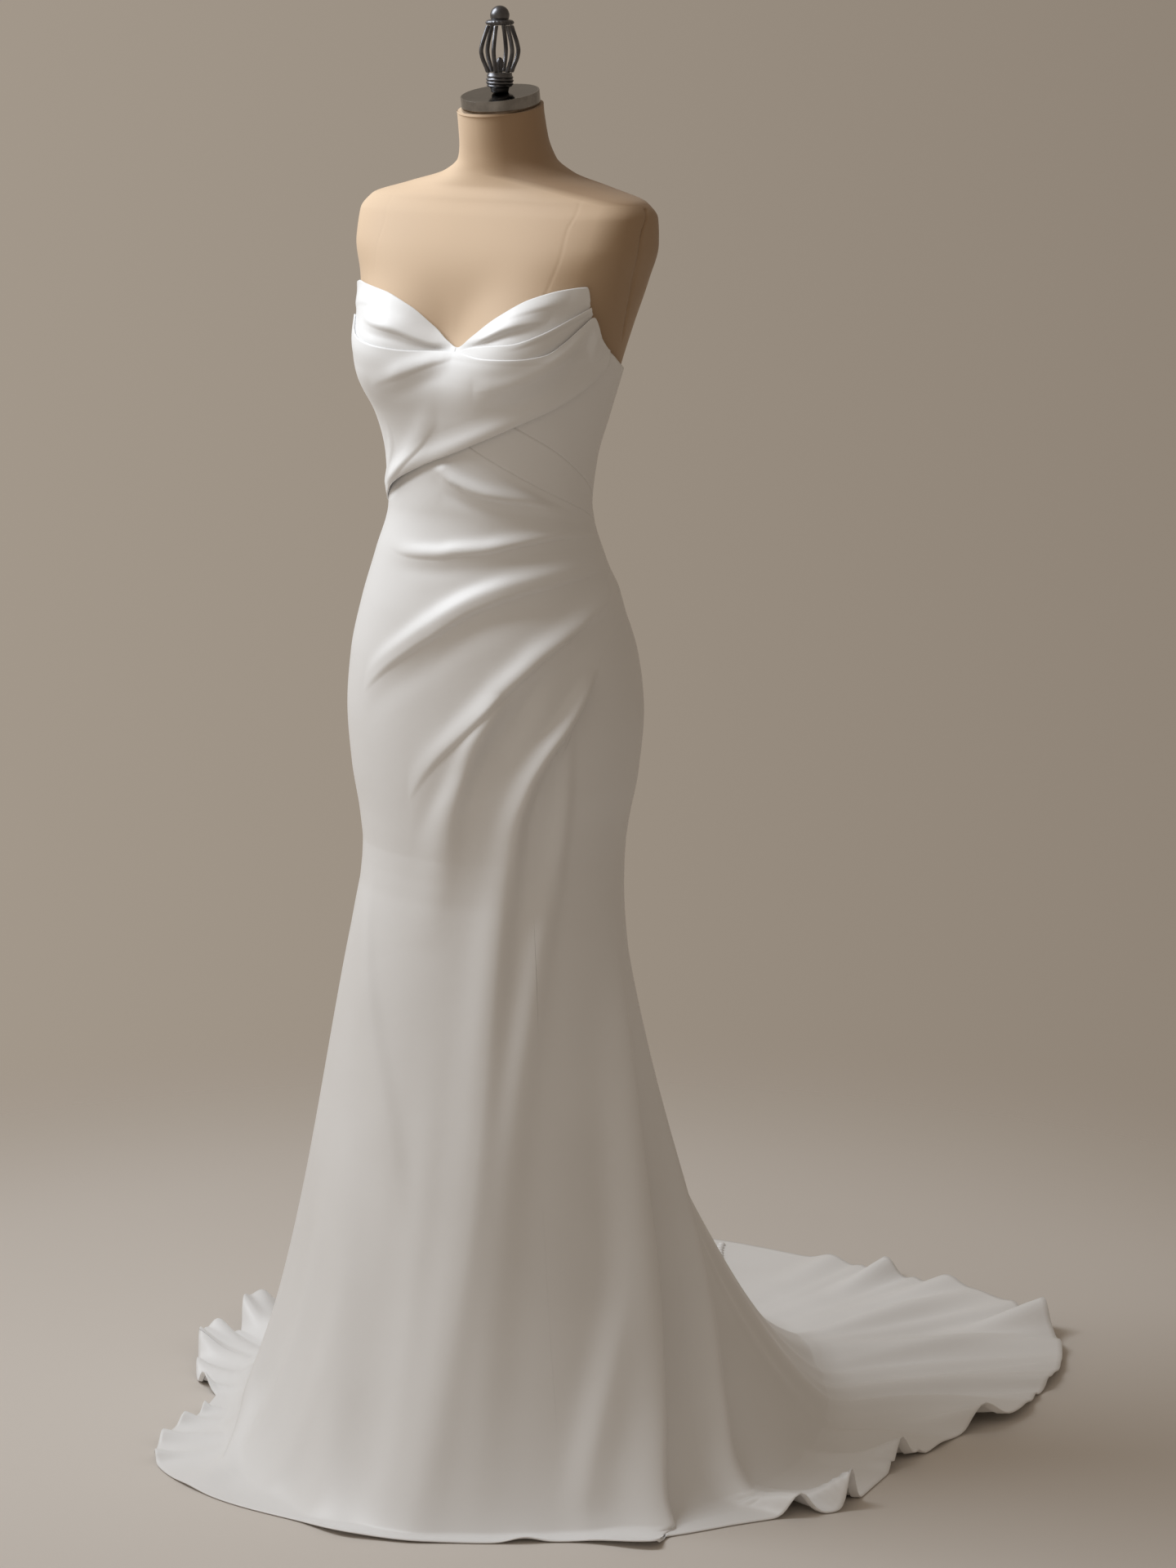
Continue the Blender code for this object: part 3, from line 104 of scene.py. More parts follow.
# The flare: how each direction round the skirt runs from the knee to the hem
# hem and landing are distances from the axis. drop and out place the curve's knee handle, and
# run and lift its floor handle.
flareTable = readTable("angle hem landing drop out run lift", [
    (-180, 0.742, 0.5, 0.31, 0.022, 0.17, 0.08),
    (-167, 0.752, 0.5, 0.31, 0.026, 0.18, 0.07),
    (-150, 0.745, 0.48, 0.3, 0.034, 0.18, 0.055),
    (-135, 0.68, 0.45, 0.28, 0.04, 0.16, 0.045),
    (-120, 0.56, 0.41, 0.27, 0.046, 0.13, 0.045),
    (-112, 0.495, 0.392, 0.26, 0.05, 0.12, 0.045),
    (-105, 0.474, 0.38, 0.25, 0.05, 0.12, 0.045),
    (-98, 0.442, 0.368, 0.25, 0.052, 0.11, 0.045),
    (-92, 0.452, 0.36, 0.25, 0.053, 0.11, 0.042),
    (-84, 0.422, 0.355, 0.25, 0.054, 0.1, 0.04),
    (-75, 0.388, 0.345, 0.25, 0.056, 0.1, 0.035),
    (-69, 0.353, 0.335, 0.25, 0.056, 0.1, 0.03),
    (-61, 0.356, 0.332, 0.25, 0.056, 0.1, 0.028),
    (-50, 0.392, 0.335, 0.25, 0.056, 0.11, 0.024),
    (-35, 0.423, 0.35, 0.25, 0.05, 0.12, 0.024),
    (-20, 0.411, 0.362, 0.25, 0.044, 0.12, 0.03),
    (0, 0.391, 0.37, 0.25, 0.04, 0.11, 0.05),
    (20, 0.388, 0.37, 0.25, 0.04, 0.09, 0.08),
    (40, 0.386, 0.368, 0.25, 0.04, 0.09, 0.09),
    (58, 0.408, 0.372, 0.25, 0.04, 0.1, 0.08),
    (71, 0.421, 0.376, 0.25, 0.04, 0.12, 0.065),
    (80, 0.445, 0.38, 0.25, 0.04, 0.13, 0.055),
    (88, 0.482, 0.384, 0.25, 0.04, 0.12, 0.05),
    (97, 0.478, 0.386, 0.27, 0.034, 0.1, 0.06),
    (105, 0.482, 0.388, 0.3, 0.022, 0.1, 0.07),
    (112, 0.512, 0.39, 0.33, 0.012, 0.1, 0.08),
    (120, 0.556, 0.395, 0.36, 0.002, 0.105, 0.085),
    (124, 0.612, 0.398, 0.36, 0.001, 0.105, 0.085),
    (131, 0.655, 0.404, 0.36, 0.001, 0.105, 0.085),
    (138, 0.711, 0.412, 0.36, 0.002, 0.105, 0.085),
    (146, 0.752, 0.425, 0.36, 0.004, 0.12, 0.08),
    (156, 0.768, 0.445, 0.35, 0.006, 0.14, 0.07),
    (168, 0.75, 0.475, 0.33, 0.014, 0.16, 0.075),
    (180, 0.742, 0.5, 0.31, 0.022, 0.17, 0.08),
])

# Long folds that fall from the hip to the hem. before and after are the half widths of the ridge
# towards smaller and larger angles, out is how far it stands out from the skirt, and up how far
# it lifts the cloth that lies on the floor.
longFolds = {name: readTable("level angle before after out up", rows) for name, rows in {
    "rightSide": [
        (0.62, -60, 0.03, 0.03, 0, 0),
        (0.4, -60, 0.03, 0.028, 0.007, 0),
        (0.25, -57, 0.028, 0.024, 0.013, 0),
        (0.16, -52, 0.026, 0.021, 0.016, 0),
        (0.1, -43, 0.024, 0.019, 0.015, 0),
        (0.04, -33, 0.022, 0.019, 0.01, 0.003),
        (0, -28, 0.022, 0.02, 0.004, 0.006),
        (-1, -25, 0.026, 0.024, 0, 0.002),
    ],
    "rightCrossing": [
        (0.68, -38, 0.02, 0.012, 0, 0),
        (0.62, -31, 0.024, 0.012, 0.003, 0),
        (0.563, -22, 0.03, 0.013, 0.0045, 0),
        (0.49, -9, 0.034, 0.014, 0.0045, 0),
        (0.4, 2, 0.034, 0.018, 0.003, 0),
        (0.3, 9, 0.03, 0.022, 0, 0),
    ],
    "frontRight": [
        (0.46, -24, 0.03, 0.03, 0, 0),
        (0.26, -10, 0.034, 0.034, 0.008, 0),
        (0.12, -3, 0.036, 0.036, 0.012, 0),
        (0, 2, 0.038, 0.038, 0.013, 0),
        (-1, 8, 0.04, 0.04, 0.013, 0.005),
    ],
    "hipFall": [
        (0.935, 72, 0.014, 0.008, 0, 0),
        (0.905, 62.5, 0.012, 0.007, 0.014, 0),
        (0.873, 54, 0.012, 0.007, 0.019, 0),
        (0.842, 46.5, 0.013, 0.008, 0.02, 0),
        (0.81, 41.5, 0.014, 0.008, 0.019, 0),
        (0.77, 38.5, 0.016, 0.009, 0.016, 0),
        (0.721, 37.5, 0.02, 0.011, 0.012, 0),
        (0.651, 33.5, 0.024, 0.014, 0.011, 0),
        (0.553, 30, 0.028, 0.017, 0.011, 0),
        (0.392, 26, 0.034, 0.022, 0.011, 0),
        (0.2, 21, 0.036, 0.03, 0.01, 0),
        (0, 18, 0.04, 0.036, 0.009, 0),
        (-1, 18, 0.044, 0.04, 0.008, 0.002),
    ],
    "hipRoom": [
        (1, 44, 0.06, 0.06, 0, 0),
        (0.95, 40, 0.06, 0.06, 0.004, 0),
        (0.88, 36, 0.06, 0.055, 0.005, 0),
        (0.82, 32, 0.06, 0.055, 0.004, 0),
        (0.74, 30, 0.06, 0.06, 0, 0),
    ],
    "pleatHollow": [
        (0.94, 48, 0.012, 0.012, 0, 0),
        (0.918, 42.5, 0.013, 0.013, -0.004, 0),
        (0.885, 36, 0.014, 0.014, -0.0065, 0),
        (0.853, 30.5, 0.014, 0.014, -0.006, 0),
        (0.824, 27, 0.016, 0.016, -0.003, 0),
        (0.79, 23, 0.018, 0.018, 0, 0),
    ],
    "underPleat": [
        (0.912, 32, 0.014, 0.007, 0, 0),
        (0.885, 26, 0.013, 0.007, 0.008, 0),
        (0.85, 20, 0.014, 0.008, 0.011, 0),
        (0.815, 16, 0.016, 0.009, 0.01, 0),
        (0.769, 12, 0.019, 0.011, 0.008, 0),
        (0.7, 8, 0.026, 0.018, 0.004, 0),
        (0.62, 2, 0.03, 0.024, 0, 0),
    ],
    "frontLeft": [
        (0.88, 57, 0.01, 0.008, 0, 0),
        (0.84, 57, 0.012, 0.009, 0.003, 0),
        (0.8, 57.5, 0.012, 0.01, 0.005, 0),
        (0.74, 58.5, 0.014, 0.011, 0.007, 0),
        (0.69, 56, 0.016, 0.013, 0.008, 0),
        (0.651, 51.5, 0.018, 0.015, 0.009, 0),
        (0.575, 45, 0.02, 0.018, 0.009, 0),
        (0.494, 39, 0.022, 0.02, 0.009, 0),
        (0.435, 36, 0.024, 0.022, 0.009, 0),
        (0.33, 32.5, 0.026, 0.026, 0.008, 0),
        (0.18, 30, 0.028, 0.028, 0.005, 0),
        (0, 29, 0.03, 0.03, 0, 0),
    ],
    "leftCrossing": [
        (0.6, 86, 0.026, 0.024, 0, 0),
        (0.5, 80, 0.026, 0.026, 0.005, 0),
        (0.4, 74, 0.024, 0.03, 0.009, 0),
        (0.32, 69, 0.022, 0.034, 0.012, 0),
        (0.25, 62, 0.021, 0.038, 0.014, 0),
        (0.18, 56, 0.021, 0.04, 0.014, 0),
        (0.11, 52, 0.022, 0.04, 0.012, 0),
        (0.03, 50, 0.024, 0.038, 0.006, 0),
        (-1, 50, 0.026, 0.036, 0, 0.002),
    ],
    "leftEdge": [
        (0.62, 89, 0.026, 0.012, 0, 0),
        (0.48, 82, 0.028, 0.01, 0.013, 0),
        (0.34, 77, 0.032, 0.01, 0.024, 0),
        (0.2, 70, 0.036, 0.01, 0.03, 0),
        (0.05, 63, 0.04, 0.012, 0.032, 0),
        (-1, 57, 0.042, 0.016, 0.028, 0.008),
    ],
    "leftSecond": [
        (0.62, 108, 0.02, 0.016, 0, 0),
        (0.5, 104, 0.018, 0.016, 0.008, 0),
        (0.4, 100, 0.016, 0.016, 0.014, 0),
        (0.29, 93, 0.015, 0.018, 0.021, 0),
        (0.16, 85, 0.015, 0.02, 0.027, 0),
        (0.08, 81, 0.015, 0.022, 0.028, 0.002),
        (0, 80, 0.016, 0.022, 0.02, 0.012),
        (-0.5, 81.5, 0.016, 0.016, 0.008, 0.02),
        (-1, 82, 0.014, 0.012, 0, 0.026),
    ],
    "leftThird": [
        (0.46, 126, 0.03, 0.03, 0, 0),
        (0.3, 131, 0.036, 0.036, 0.007, 0),
        (0.15, 128, 0.036, 0.036, 0.008, 0),
        (0, 125, 0.034, 0.034, 0, 0.006),
    ],
    "backLeft": [
        (0.58, 158, 0.026, 0.026, 0, 0),
        (0.38, 158, 0.032, 0.032, 0.012, 0),
        (0.2, 157, 0.04, 0.04, 0.018, 0),
        (0, 156, 0.044, 0.044, 0.004, 0.008),
    ],
    "backRight": [
        (0.6, -150, 0.026, 0.026, 0, 0),
        (0.38, -150, 0.032, 0.032, 0.014, 0),
        (0.18, -148, 0.04, 0.04, 0.019, 0),
        (0, -147, 0.044, 0.044, 0.004, 0.008),
    ],
    "rightSecond": [
        (0.62, -96, 0.024, 0.024, 0, 0),
        (0.42, -99, 0.028, 0.026, 0.014, 0),
        (0.22, -102, 0.032, 0.028, 0.022, 0),
        (0.02, -104, 0.036, 0.032, 0.014, 0.006),
    ],
}.items()}

# Slighter folds that begin part of the way down, uneven in length, depth and spacing.
softFolds = readTable("top topAngle low lowAngle half out", [
    (0.6, -76, 0.04, -82, 0.02, 0.005), (0.52, -50, 0.05, -49, 0.026, 0.005),
    (0.44, -36, 0.02, -30, 0.022, 0.004), (0.36, -14, 0.03, -14, 0.022, 0.004),
    (0.58, 10, 0.2, 12, 0.02, 0.003), (0.66, 112, 0.25, 117, 0.018, 0.005),
    (0.5, 140, 0.08, 143, 0.024, 0.006), (0.62, 149, 0.3, 150, 0.018, 0.004),
    (0.54, 168, 0.12, 167, 0.022, 0.005), (0.58, 176, 0.3, 176, 0.016, 0.004),
    (0.6, -172, 0.14, -171, 0.022, 0.006), (0.48, -160, 0.1, -159, 0.024, 0.005),
    (0.64, -138, 0.2, -137, 0.022, 0.006), (0.46, -128, 0.06, -126, 0.024, 0.007),
    (0.56, -113, 0.1, -114, 0.02, 0.005), (0.66, -88, 0.34, -89, 0.018, 0.004),
])

# Ridges and ruffle waves of the hem and train, where the cloth lies on the floor. landing and
# hem are angles, width is half the ridge's width, start the level where it begins, and middle
# and edge its height halfway out and at the hem.
trainRidges = readTable("landing hem width start middle edge", [
    (84, 89.5, 0.013, 0.02, 0.012, 0.043),
    (104, 107, 0.015, 0.03, 0.01, 0.032),
    (114, 114.5, 0.022, 0.1, 0.013, 0.004),
    (119, 121.5, 0.014, 0.02, 0.006, 0.028),
    (126, 127, 0.025, 0.12, 0.017, 0.006),
    (134, 135.5, 0.023, 0.12, 0.016, 0.01),
    (143, 140, 0.018, 0.06, 0.008, 0.006),
    (151, 143.5, 0.025, 0.12, 0.018, 0.012),
    (152, 149, 0.024, 0.02, 0.006, 0.044),
    (157, 160, 0.026, 0.12, 0.02, 0.008),
    (164, 163.5, 0.026, 0.02, 0.008, 0.02),
    (171, 171, 0.017, 0.02, 0.002, 0.024),
    (178, 177.5, 0.022, 0.02, 0.002, 0.01),
    (-161, -161, 0.026, 0.1, 0.013, 0.03),
    (-154, -152, 0.02, 0.05, 0.006, 0.012),
    (-145, -147, 0.028, 0.12, 0.015, 0.024),
    (-135, -134, 0.018, 0.04, 0.006, 0.016),
    (-127, -124, 0.026, 0.12, 0.014, 0.01),
    (-116, -116, 0.016, 0.03, 0.005, 0.02),
    (-104, -107.5, 0.021, 0.05, 0.01, 0.03),
    (-101, -103, 0.019, 0.05, 0.01, 0.03),
    (-92, -94, 0.019, 0.06, 0.012, 0.031),
    (-87, -88.5, 0.021, 0.06, 0.012, 0.033),
    (-80, -81, 0.014, 0.03, 0.006, 0.016),
    (-45, -46, 0.013, 0.02, 0.006, 0.014),
    (38, 38, 0.02, 0.02, 0.001, 0.006),
    # narrow ripples of the hem between the larger waves, and low folds that cross the train
    (103, 103.8, 0.006, 0.01, 0.001, 0.011), (110, 110.2, 0.006, 0.01, 0.001, 0.007),
    (121, 124, 0.012, 0.06, 0.005, 0.003), (130, 130.5, 0.009, 0.02, 0.002, 0.006),
    (134, 133.8, 0.008, 0.01, 0.001, 0.007), (138, 138.4, 0.011, 0.08, 0.005, 0.006),
    (147, 146.5, 0.012, 0.06, 0.004, 0.005), (153, 155, 0.014, 0.08, 0.006, 0.005),
    (167, 167.5, 0.01, 0.02, 0.001, 0.005), (174, 174, 0.009, 0.02, 0.001, 0.004),
    (-166, -165, 0.011, 0.05, 0.003, 0.008), (-157, -157, 0.012, 0.06, 0.004, 0.01),
    (-140, -140, 0.012, 0.06, 0.004, 0.012), (-129, -129, 0.012, 0.05, 0.004, 0.01),
    (-110, -111, 0.01, 0.03, 0.003, 0.01), (-97, -98, 0.007, 0.02, 0.001, 0.005),
    (-91, -91.3, 0.006, 0.02, 0.001, 0.005),
    (-73.5, -73.5, 0.01, 0.02, 0.004, 0.02), (-61, -61, 0.009, 0.01, 0.003, 0.012),
    (-54.5, -54.5, 0.01, 0.01, 0.004, 0.014), (-38, -38, 0.01, 0.01, 0.003, 0.012),
])


def smoothCurve(xs, ys):  # return a curve through the points that never overshoots, held flat past both ends
    order = np.argsort(xs)
    xs = np.asarray(xs, float)[order]
    ys = np.asarray(ys, float)[order]
    steps = np.diff(xs)
    slopes = np.diff(ys) / steps
    tangents = np.zeros(len(xs))
    for i in range(1, len(xs) - 1):
        before, after = slopes[i - 1], slopes[i]
        if before * after > 0:
            near = 2 * steps[i] + steps[i - 1]
            far = steps[i] + 2 * steps[i - 1]
            tangents[i] = (near + far) / (near / before + far / after)
    tangents[0] = slopes[0]
    tangents[-1] = slopes[-1]

    def value(x):
        x = np.clip(np.asarray(x, float), xs[0], xs[-1])
        i = np.clip(np.searchsorted(xs, x, side="right") - 1, 0, len(xs) - 2)
        t = (x - xs[i]) / steps[i]
        ends = (1 + 2 * t) * (1 - t) ** 2 * ys[i] + t * t * (3 - 2 * t) * ys[i + 1]
        turns = t * (1 - t) ** 2 * tangents[i] + t * t * (t - 1) * tangents[i + 1]
        return ends + turns * steps[i]
    return value


# The pleats and creases over the hip, waist and bust
def crease(above, slope, rows, shelf=0.004, edge=0.42):
    # A fold that runs round the figure: how far it reaches above its crest, how wide its slope below is,
    # how far below the crest its crisp edge lies, and that edge's share of the drop.
    line = readTable("angle height rise", rows)
    return dict(above=above, slope=slope, shelf=shelf, edge=edge,
                height=smoothCurve(line["angle"], line["height"]), rise=smoothCurve(line["angle"], line["rise"]))


hipPleats = [
    crease(0.01, 0.011, [(-7, 1.158, 0), (-1, 1.153, 0.003), (3, 1.146, 0.005), (8, 1.14, 0.007),
        (15, 1.134, 0.008), (25, 1.128, 0.0085), (37, 1.124, 0.0075), (50, 1.121, 0.0065), (62, 1.116, 0.005),
        (82, 1.107, 0.003), (107, 1.093, 0)], shelf=0.002, edge=0.6),
    crease(0.009, 0.013, [(-34, 1.062, 0), (-24, 1.059, 0.001), (-15, 1.058, 0.003), (1, 1.06, 0.005),
        (10, 1.064, 0.006), (24, 1.068, 0.0065), (39, 1.075, 0.007), (55, 1.081, 0.007), (68, 1.083, 0.006),
        (84, 1.08, 0.004), (112, 1.075, 0.001)], shelf=0.003, edge=0.6),
    crease(0.011, 0.021, [(-34, 0.908, 0), (-21, 0.936, 0.004), (-10, 0.958, 0.007), (0, 0.979, 0.009),
        (8, 0.995, 0.01), (18, 1.011, 0.01), (30, 1.024, 0.01), (42, 1.033, 0.009), (56, 1.04, 0.008),
        (70, 1.045, 0.007), (90, 1.049, 0.005), (112, 1.05, 0.002)], shelf=0.012, edge=0.45),
    crease(0.012, 0.018, [(-8, 0.785, 0), (3, 0.828, 0.004), (12, 0.857, 0.007), (23, 0.892, 0.01),
        (30, 0.914, 0.011), (39, 0.937, 0.012), (47, 0.955, 0.012), (58, 0.972, 0.011), (71, 0.991, 0.009),
        (80, 1.001, 0.007), (99, 1.015, 0.004), (112, 1.019, 0.001)], shelf=0.004, edge=0.55),
    crease(0.045, 0.05, [(-52, 1.098, 0), (-34, 1.098, 0.003), (-10, 1.1, 0.0045), (20, 1.1, 0.0045),
        (50, 1.095, 0.003), (80, 1.09, 0)], edge=0),
    crease(0.007, 0.007, [(62, 0.978, 0), (70, 0.985, 0.002), (80, 0.992, 0.003), (100, 1.008, 0.002),
        (112, 1.016, 0)], shelf=0.002),
]
drapeFullness = dict(angle=-34, spread=24, height=1.236, tall=0.030, rise=0.0075)    # it hangs clear under the bust
drapeCreases = [
    crease(0.012, 0.012, [(-30, 1.244, 0), (-22, 1.252, 0.002), (-14, 1.26, 0.005), (-6, 1.27, 0.005),
        (5, 1.281, 0.001)], shelf=0.003),
    crease(0.016, 0.015, [(-46, 1.128, 0.001), (-34, 1.138, 0.005), (-21, 1.159, 0.006), (-11, 1.179, 0.004),
        (0, 1.211, 0)], shelf=0.003),
    crease(0.01, 0.012, [(-62, 1.118, 0), (-50, 1.138, 0.002), (-40, 1.163, 0.002), (-32, 1.19, 0)]),
    crease(0.012, 0.014, [(18, 1.246, 0), (26, 1.248, 0.004), (40, 1.258, 0.006), (56, 1.282, 0.006),
        (68, 1.312, 0.002)], shelf=0.002, edge=0.2),
]
cupCreases = [
    crease(0.01, 0.008, [(-37, 1.316, 0), (-28, 1.311, 0.004), (-18, 1.306, 0.007), (-11, 1.298, 0.007),
        (-4, 1.291, 0.005), (2, 1.286, 0)], shelf=0.002, edge=0.55),
    crease(0.012, 0.014, [(-62, 1.326, 0), (-50, 1.331, 0.002), (-38, 1.334, 0.002), (-26, 1.334, 0)]),
]
softCupCreases = [
    crease(0.01, 0.007, [(7, 1.287, 0), (12, 1.292, 0.004), (20, 1.305, 0.007), (27, 1.315, 0.007),
        (34, 1.32, 0.005), (44, 1.324, 0)], shelf=0.002, edge=0.5),
    crease(0.012, 0.01, [(20, 1.322, 0), (28, 1.33, 0.003), (38, 1.339, 0.004), (50, 1.344, 0.001)],
        shelf=0.003, edge=0.3),
]
# Drag lines of the back and the seat, hidden from the front.
backCreases = [
    crease(0.016, 0.015, [(-180, 1.118, 0), (-160, 1.11, 0.002), (-130, 1.1, 0.003), (-104, 1.096, 0),
        (-90, 1.096, 0)]),
    crease(0.018, 0.018, [(-180, 1.022, 0.001), (-158, 1.03, 0.002), (-132, 1.026, 0.003), (-116, 1.018, 0.001),
        (-96, 1.012, 0)]),
    crease(0.02, 0.021, [(-172, 0.955, 0), (-156, 0.948, 0.002), (-140, 0.93, 0.002), (-124, 0.915, 0)]),
    crease(0.015, 0.016, [(112, 1.087, 0), (120, 1.093, 0.001), (132, 1.102, 0.003), (156, 1.116, 0.002),
        (176, 1.124, 0)]),
    crease(0.019, 0.018, [(112, 1.004, 0), (121, 1.01, 0.002), (134, 1.018, 0.003), (158, 1.026, 0.002),
        (179, 1.018, 0)]),
    crease(0.02, 0.021, [(118, 0.902, 0), (134, 0.924, 0.002), (152, 0.94, 0.002), (170, 0.944, 0)]),
    crease(0.014, 0.015, [(-176, 0.7, 0), (-160, 0.715, 0.003), (-140, 0.722, 0.003), (-122, 0.716, 0)]),
    crease(0.014, 0.015, [(118, 0.706, 0), (138, 0.718, 0.003), (158, 0.712, 0.003), (174, 0.7, 0)]),
]


# Edges and seams of the pieces, as heights round the figure
def edge(rows):
    line = readTable("angle height", rows)
    return smoothCurve(line["angle"], line["height"])


notchAngle = 5.0            # where the two cups meet at the front
necklineBack = [(74, 1.311), (86, 1.288), (100, 1.27), (116, 1.259), (150, 1.222), (180, 1.205)]
neckline = edge([(-angle, height) for angle, height in necklineBack] + necklineBack + [
    (-65, 1.338), (-57, 1.351), (-49, 1.353), (-45, 1.352), (-26, 1.345), (-15, 1.331), (-6, 1.31),
    (notchAngle, 1.289), (13, 1.304), (21, 1.325), (31, 1.345), (45, 1.356), (57, 1.359), (65, 1.334)])
overCupRight = [(-88, 1.262), (-75, 1.288), (-60, 1.311), (-51, 1.316), (-39, 1.297), (-25, 1.287)]
cupRightLow = edge(overCupRight + [(-13, 1.283), (5, 1.285)])
cupLeftLow = edge([(5, 1.284), (14, 1.291), (22, 1.295), (31, 1.298), (41, 1.308), (55, 1.326), (64, 1.337)])
drapeTop = edge(overCupRight + [
    (-13, 1.2835), (5, 1.2845), (12, 1.283), (20, 1.281), (34, 1.282), (46, 1.287), (54, 1.3), (61, 1.315),
    (67, 1.326), (74, 1.309), (87, 1.2865)])
drapeLow = edge([(-88, 1.094), (-70, 1.102), (-47, 1.12), (-22, 1.145), (0, 1.167), (26, 1.194), (42, 1.211),
    (63, 1.233), (81, 1.258), (88, 1.272)])
sideSeamLow = edge([(5, 1.198), (14, 1.183), (35, 1.157), (61, 1.131), (103, 1.097), (112, 1.09)])
sideSeamHigh = edge([(28, 1.219), (39, 1.205), (64, 1.177), (95, 1.137), (112, 1.117)])
# The pleats end in this seam, which sweeps from the side down to the front of the knee.
pleatSeamTable = readTable("level angle", [
    (-1.0, 46), (0.30, 46), (0.60, 47), (0.72, 48.5), (0.811, 51), (0.864, 58), (0.909, 67), (0.959, 84),
    (0.986, 110), (0.990, leftSeam),
])
pleatSeamCurve = smoothCurve(pleatSeamTable["level"], pleatSeamTable["angle"])


def blend(value, low, high):  # rise smoothly from 0 at low to 1 at high
    t = np.clip((value - low) / (high - low), 0, 1)
    return t * t * (3 - 2 * t)


sectionCurve = {name: smoothCurve(figureTable["height"], column) for name, column in figureTable.items()
                if name != "height"}


def figurePoint(angle, height, ease):  # return points on the figure, ease outside it
    turn = np.radians(angle)
    ease = ease - sternumShape["depth"] * np.exp(-(angle / sternumShape["spread"]) ** 2
                                            - ((height - sternumShape["height"]) / sternumShape["tall"]) ** 2)
    for side in (-1, 1):
        ease = ease + cupShape["rise"] * np.exp(-((angle - side * cupShape["angle"]) / cupShape["spread"]) ** 2
                                           - ((height - cupShape["height"]) / cupShape["tall"]) ** 2)
    power = 2 / sectionCurve["squareness"](height)
    across, ahead = np.sin(turn), np.cos(turn)
    depth = np.where(ahead > 0, sectionCurve["front"](height), sectionCurve["back"](height)) + ease
    x = (sectionCurve["halfWidth"](height) + ease) * np.sign(across) * np.abs(across) ** power
    y = sectionCurve["centre"](height) - depth * np.sign(ahead) * np.abs(ahead) ** power
    return np.stack([x, y, height + 0 * x], -1)


def roundTheSkirt(values):  # a closed curve of one column of the flare against the angle
    angles = flareTable["angle"]
    around = np.concatenate([angles[:-1] - 360, angles, angles[1:] + 360])
    curve = smoothCurve(around, np.concatenate([values[:-1], values, values[1:]]))
    return lambda angle: curve((angle + 180) % 360 - 180)


flareCurve = {name: roundTheSkirt(flareTable[name]) for name in flareTable if name != "angle"}


def apart(angle, other):  # return the turn from other to angle, the short way round
    return (angle - other + 180) % 360 - 180


def flareFolds(angle, level, radius):  # how far the folds push the skirt outwards and up
    out = np.zeros_like(radius)
    up = np.zeros_like(radius)
    for fold in longFolds.values():
        at = {name: smoothCurve(fold["level"], fold[name])(level) for name in fold}
        away = np.radians(apart(angle, at["angle"])) * radius
        shape = bell(away, np.where(away < 0, at["before"], at["after"]))
        out += at["out"] * shape
        up += at["up"] * shape
    for top, topAngle, low, lowAngle, half, rise in zip(*softFolds.values()):
        down = (top - level) / (top - low)
        away = np.radians(apart(angle, topAngle + (lowAngle - topAngle) * np.clip(down, 0, 1))) * radius
        out += rise * blend(down, 0, 0.6) * blend(level, -0.35, 0.02) * bell(away, half)
    for landing, hem, width, start, middle, rise in zip(*trainRidges.values()):
        centre = landing + apart(hem, landing) * np.clip(-level, 0, 1)
        height = smoothCurve((-1.0, -0.5, 0.0, start), (rise, middle, 0.5 * middle, 0.0))(level)
        up += height * bell(np.radians(apart(angle, centre)) * radius, width)
    return out, up


def dressPoint(angle, level, ease):  # points on the dress, with its bends at the knee and the floor rounded off
    depth = flareCurve["hem"](angle) - flareCurve["landing"](angle)
    along = np.where(level > 0, level, level * depth)    # metres above the landing line, or out from it
    bend = np.minimum(floorRound, 0.5 * depth)
    near = kneeRound * np.clip(1 - np.abs(level - kneeLevel) / (2 * kneeRound), 0, 1)
    near = near + bend * np.clip(1 - np.abs(along) / (2 * bend), 0, 1)
    sides = 0
    for beside in (along + near, along - near):
        sides += skirtPoint(angle, np.where(beside > 0, beside, beside / depth), ease)
    return 0.5 * skirtPoint(angle, level, ease) + 0.25 * sides


def skirtPoint(angle, level, ease):  # points on the figure down to the knee, then on the flare down to the hem
    angle = np.asarray(angle, float) + 0 * np.asarray(level, float)
    level = np.asarray(level, float) + 0 * angle
    turn = np.radians(angle)
    onFigure = figurePoint(angle, np.maximum(level, kneeLevel), ease)
    flare = {name: curve(angle) for name, curve in flareCurve.items()}
    landing = np.stack([flare["landing"] * np.sin(turn), -flare["landing"] * np.cos(turn)], -1)
    reach = unit(landing - onFigure[..., :2])
    t = np.clip(1 - level / kneeLevel, 0, 1)
    start, leave, arrive, end = (1 - t) ** 3, 3 * (1 - t) ** 2 * t, 3 * (1 - t) * t * t, t ** 3
    plan = onFigure[..., :2] * (start + leave)[..., None] + landing * (arrive + end)[..., None]
    plan += reach * (flare["out"] * leave - flare["run"] * arrive)[..., None]
    height = kneeLevel * start + (kneeLevel - flare["drop"]) * leave + flare["lift"] * arrive
    radius = flare["landing"] + (flare["hem"] - flare["landing"]) * np.clip(-level, 0, 1)
    onFloor = np.stack([radius * np.sin(turn), -radius * np.cos(turn)], -1)
    plan = np.where((level > 0)[..., None], plan, onFloor)
    height = np.where(level > 0, height, 0)
    plan = np.where((level > kneeLevel)[..., None], onFigure[..., :2], plan)
    height = np.where(level > kneeLevel, onFigure[..., 2], height)
    out, up = flareFolds(angle, level, np.linalg.norm(plan, axis=-1))
    plan += out[..., None] * np.stack([np.sin(turn), -np.cos(turn)], -1)
    return np.concatenate([plan, (height + up)[..., None]], -1)


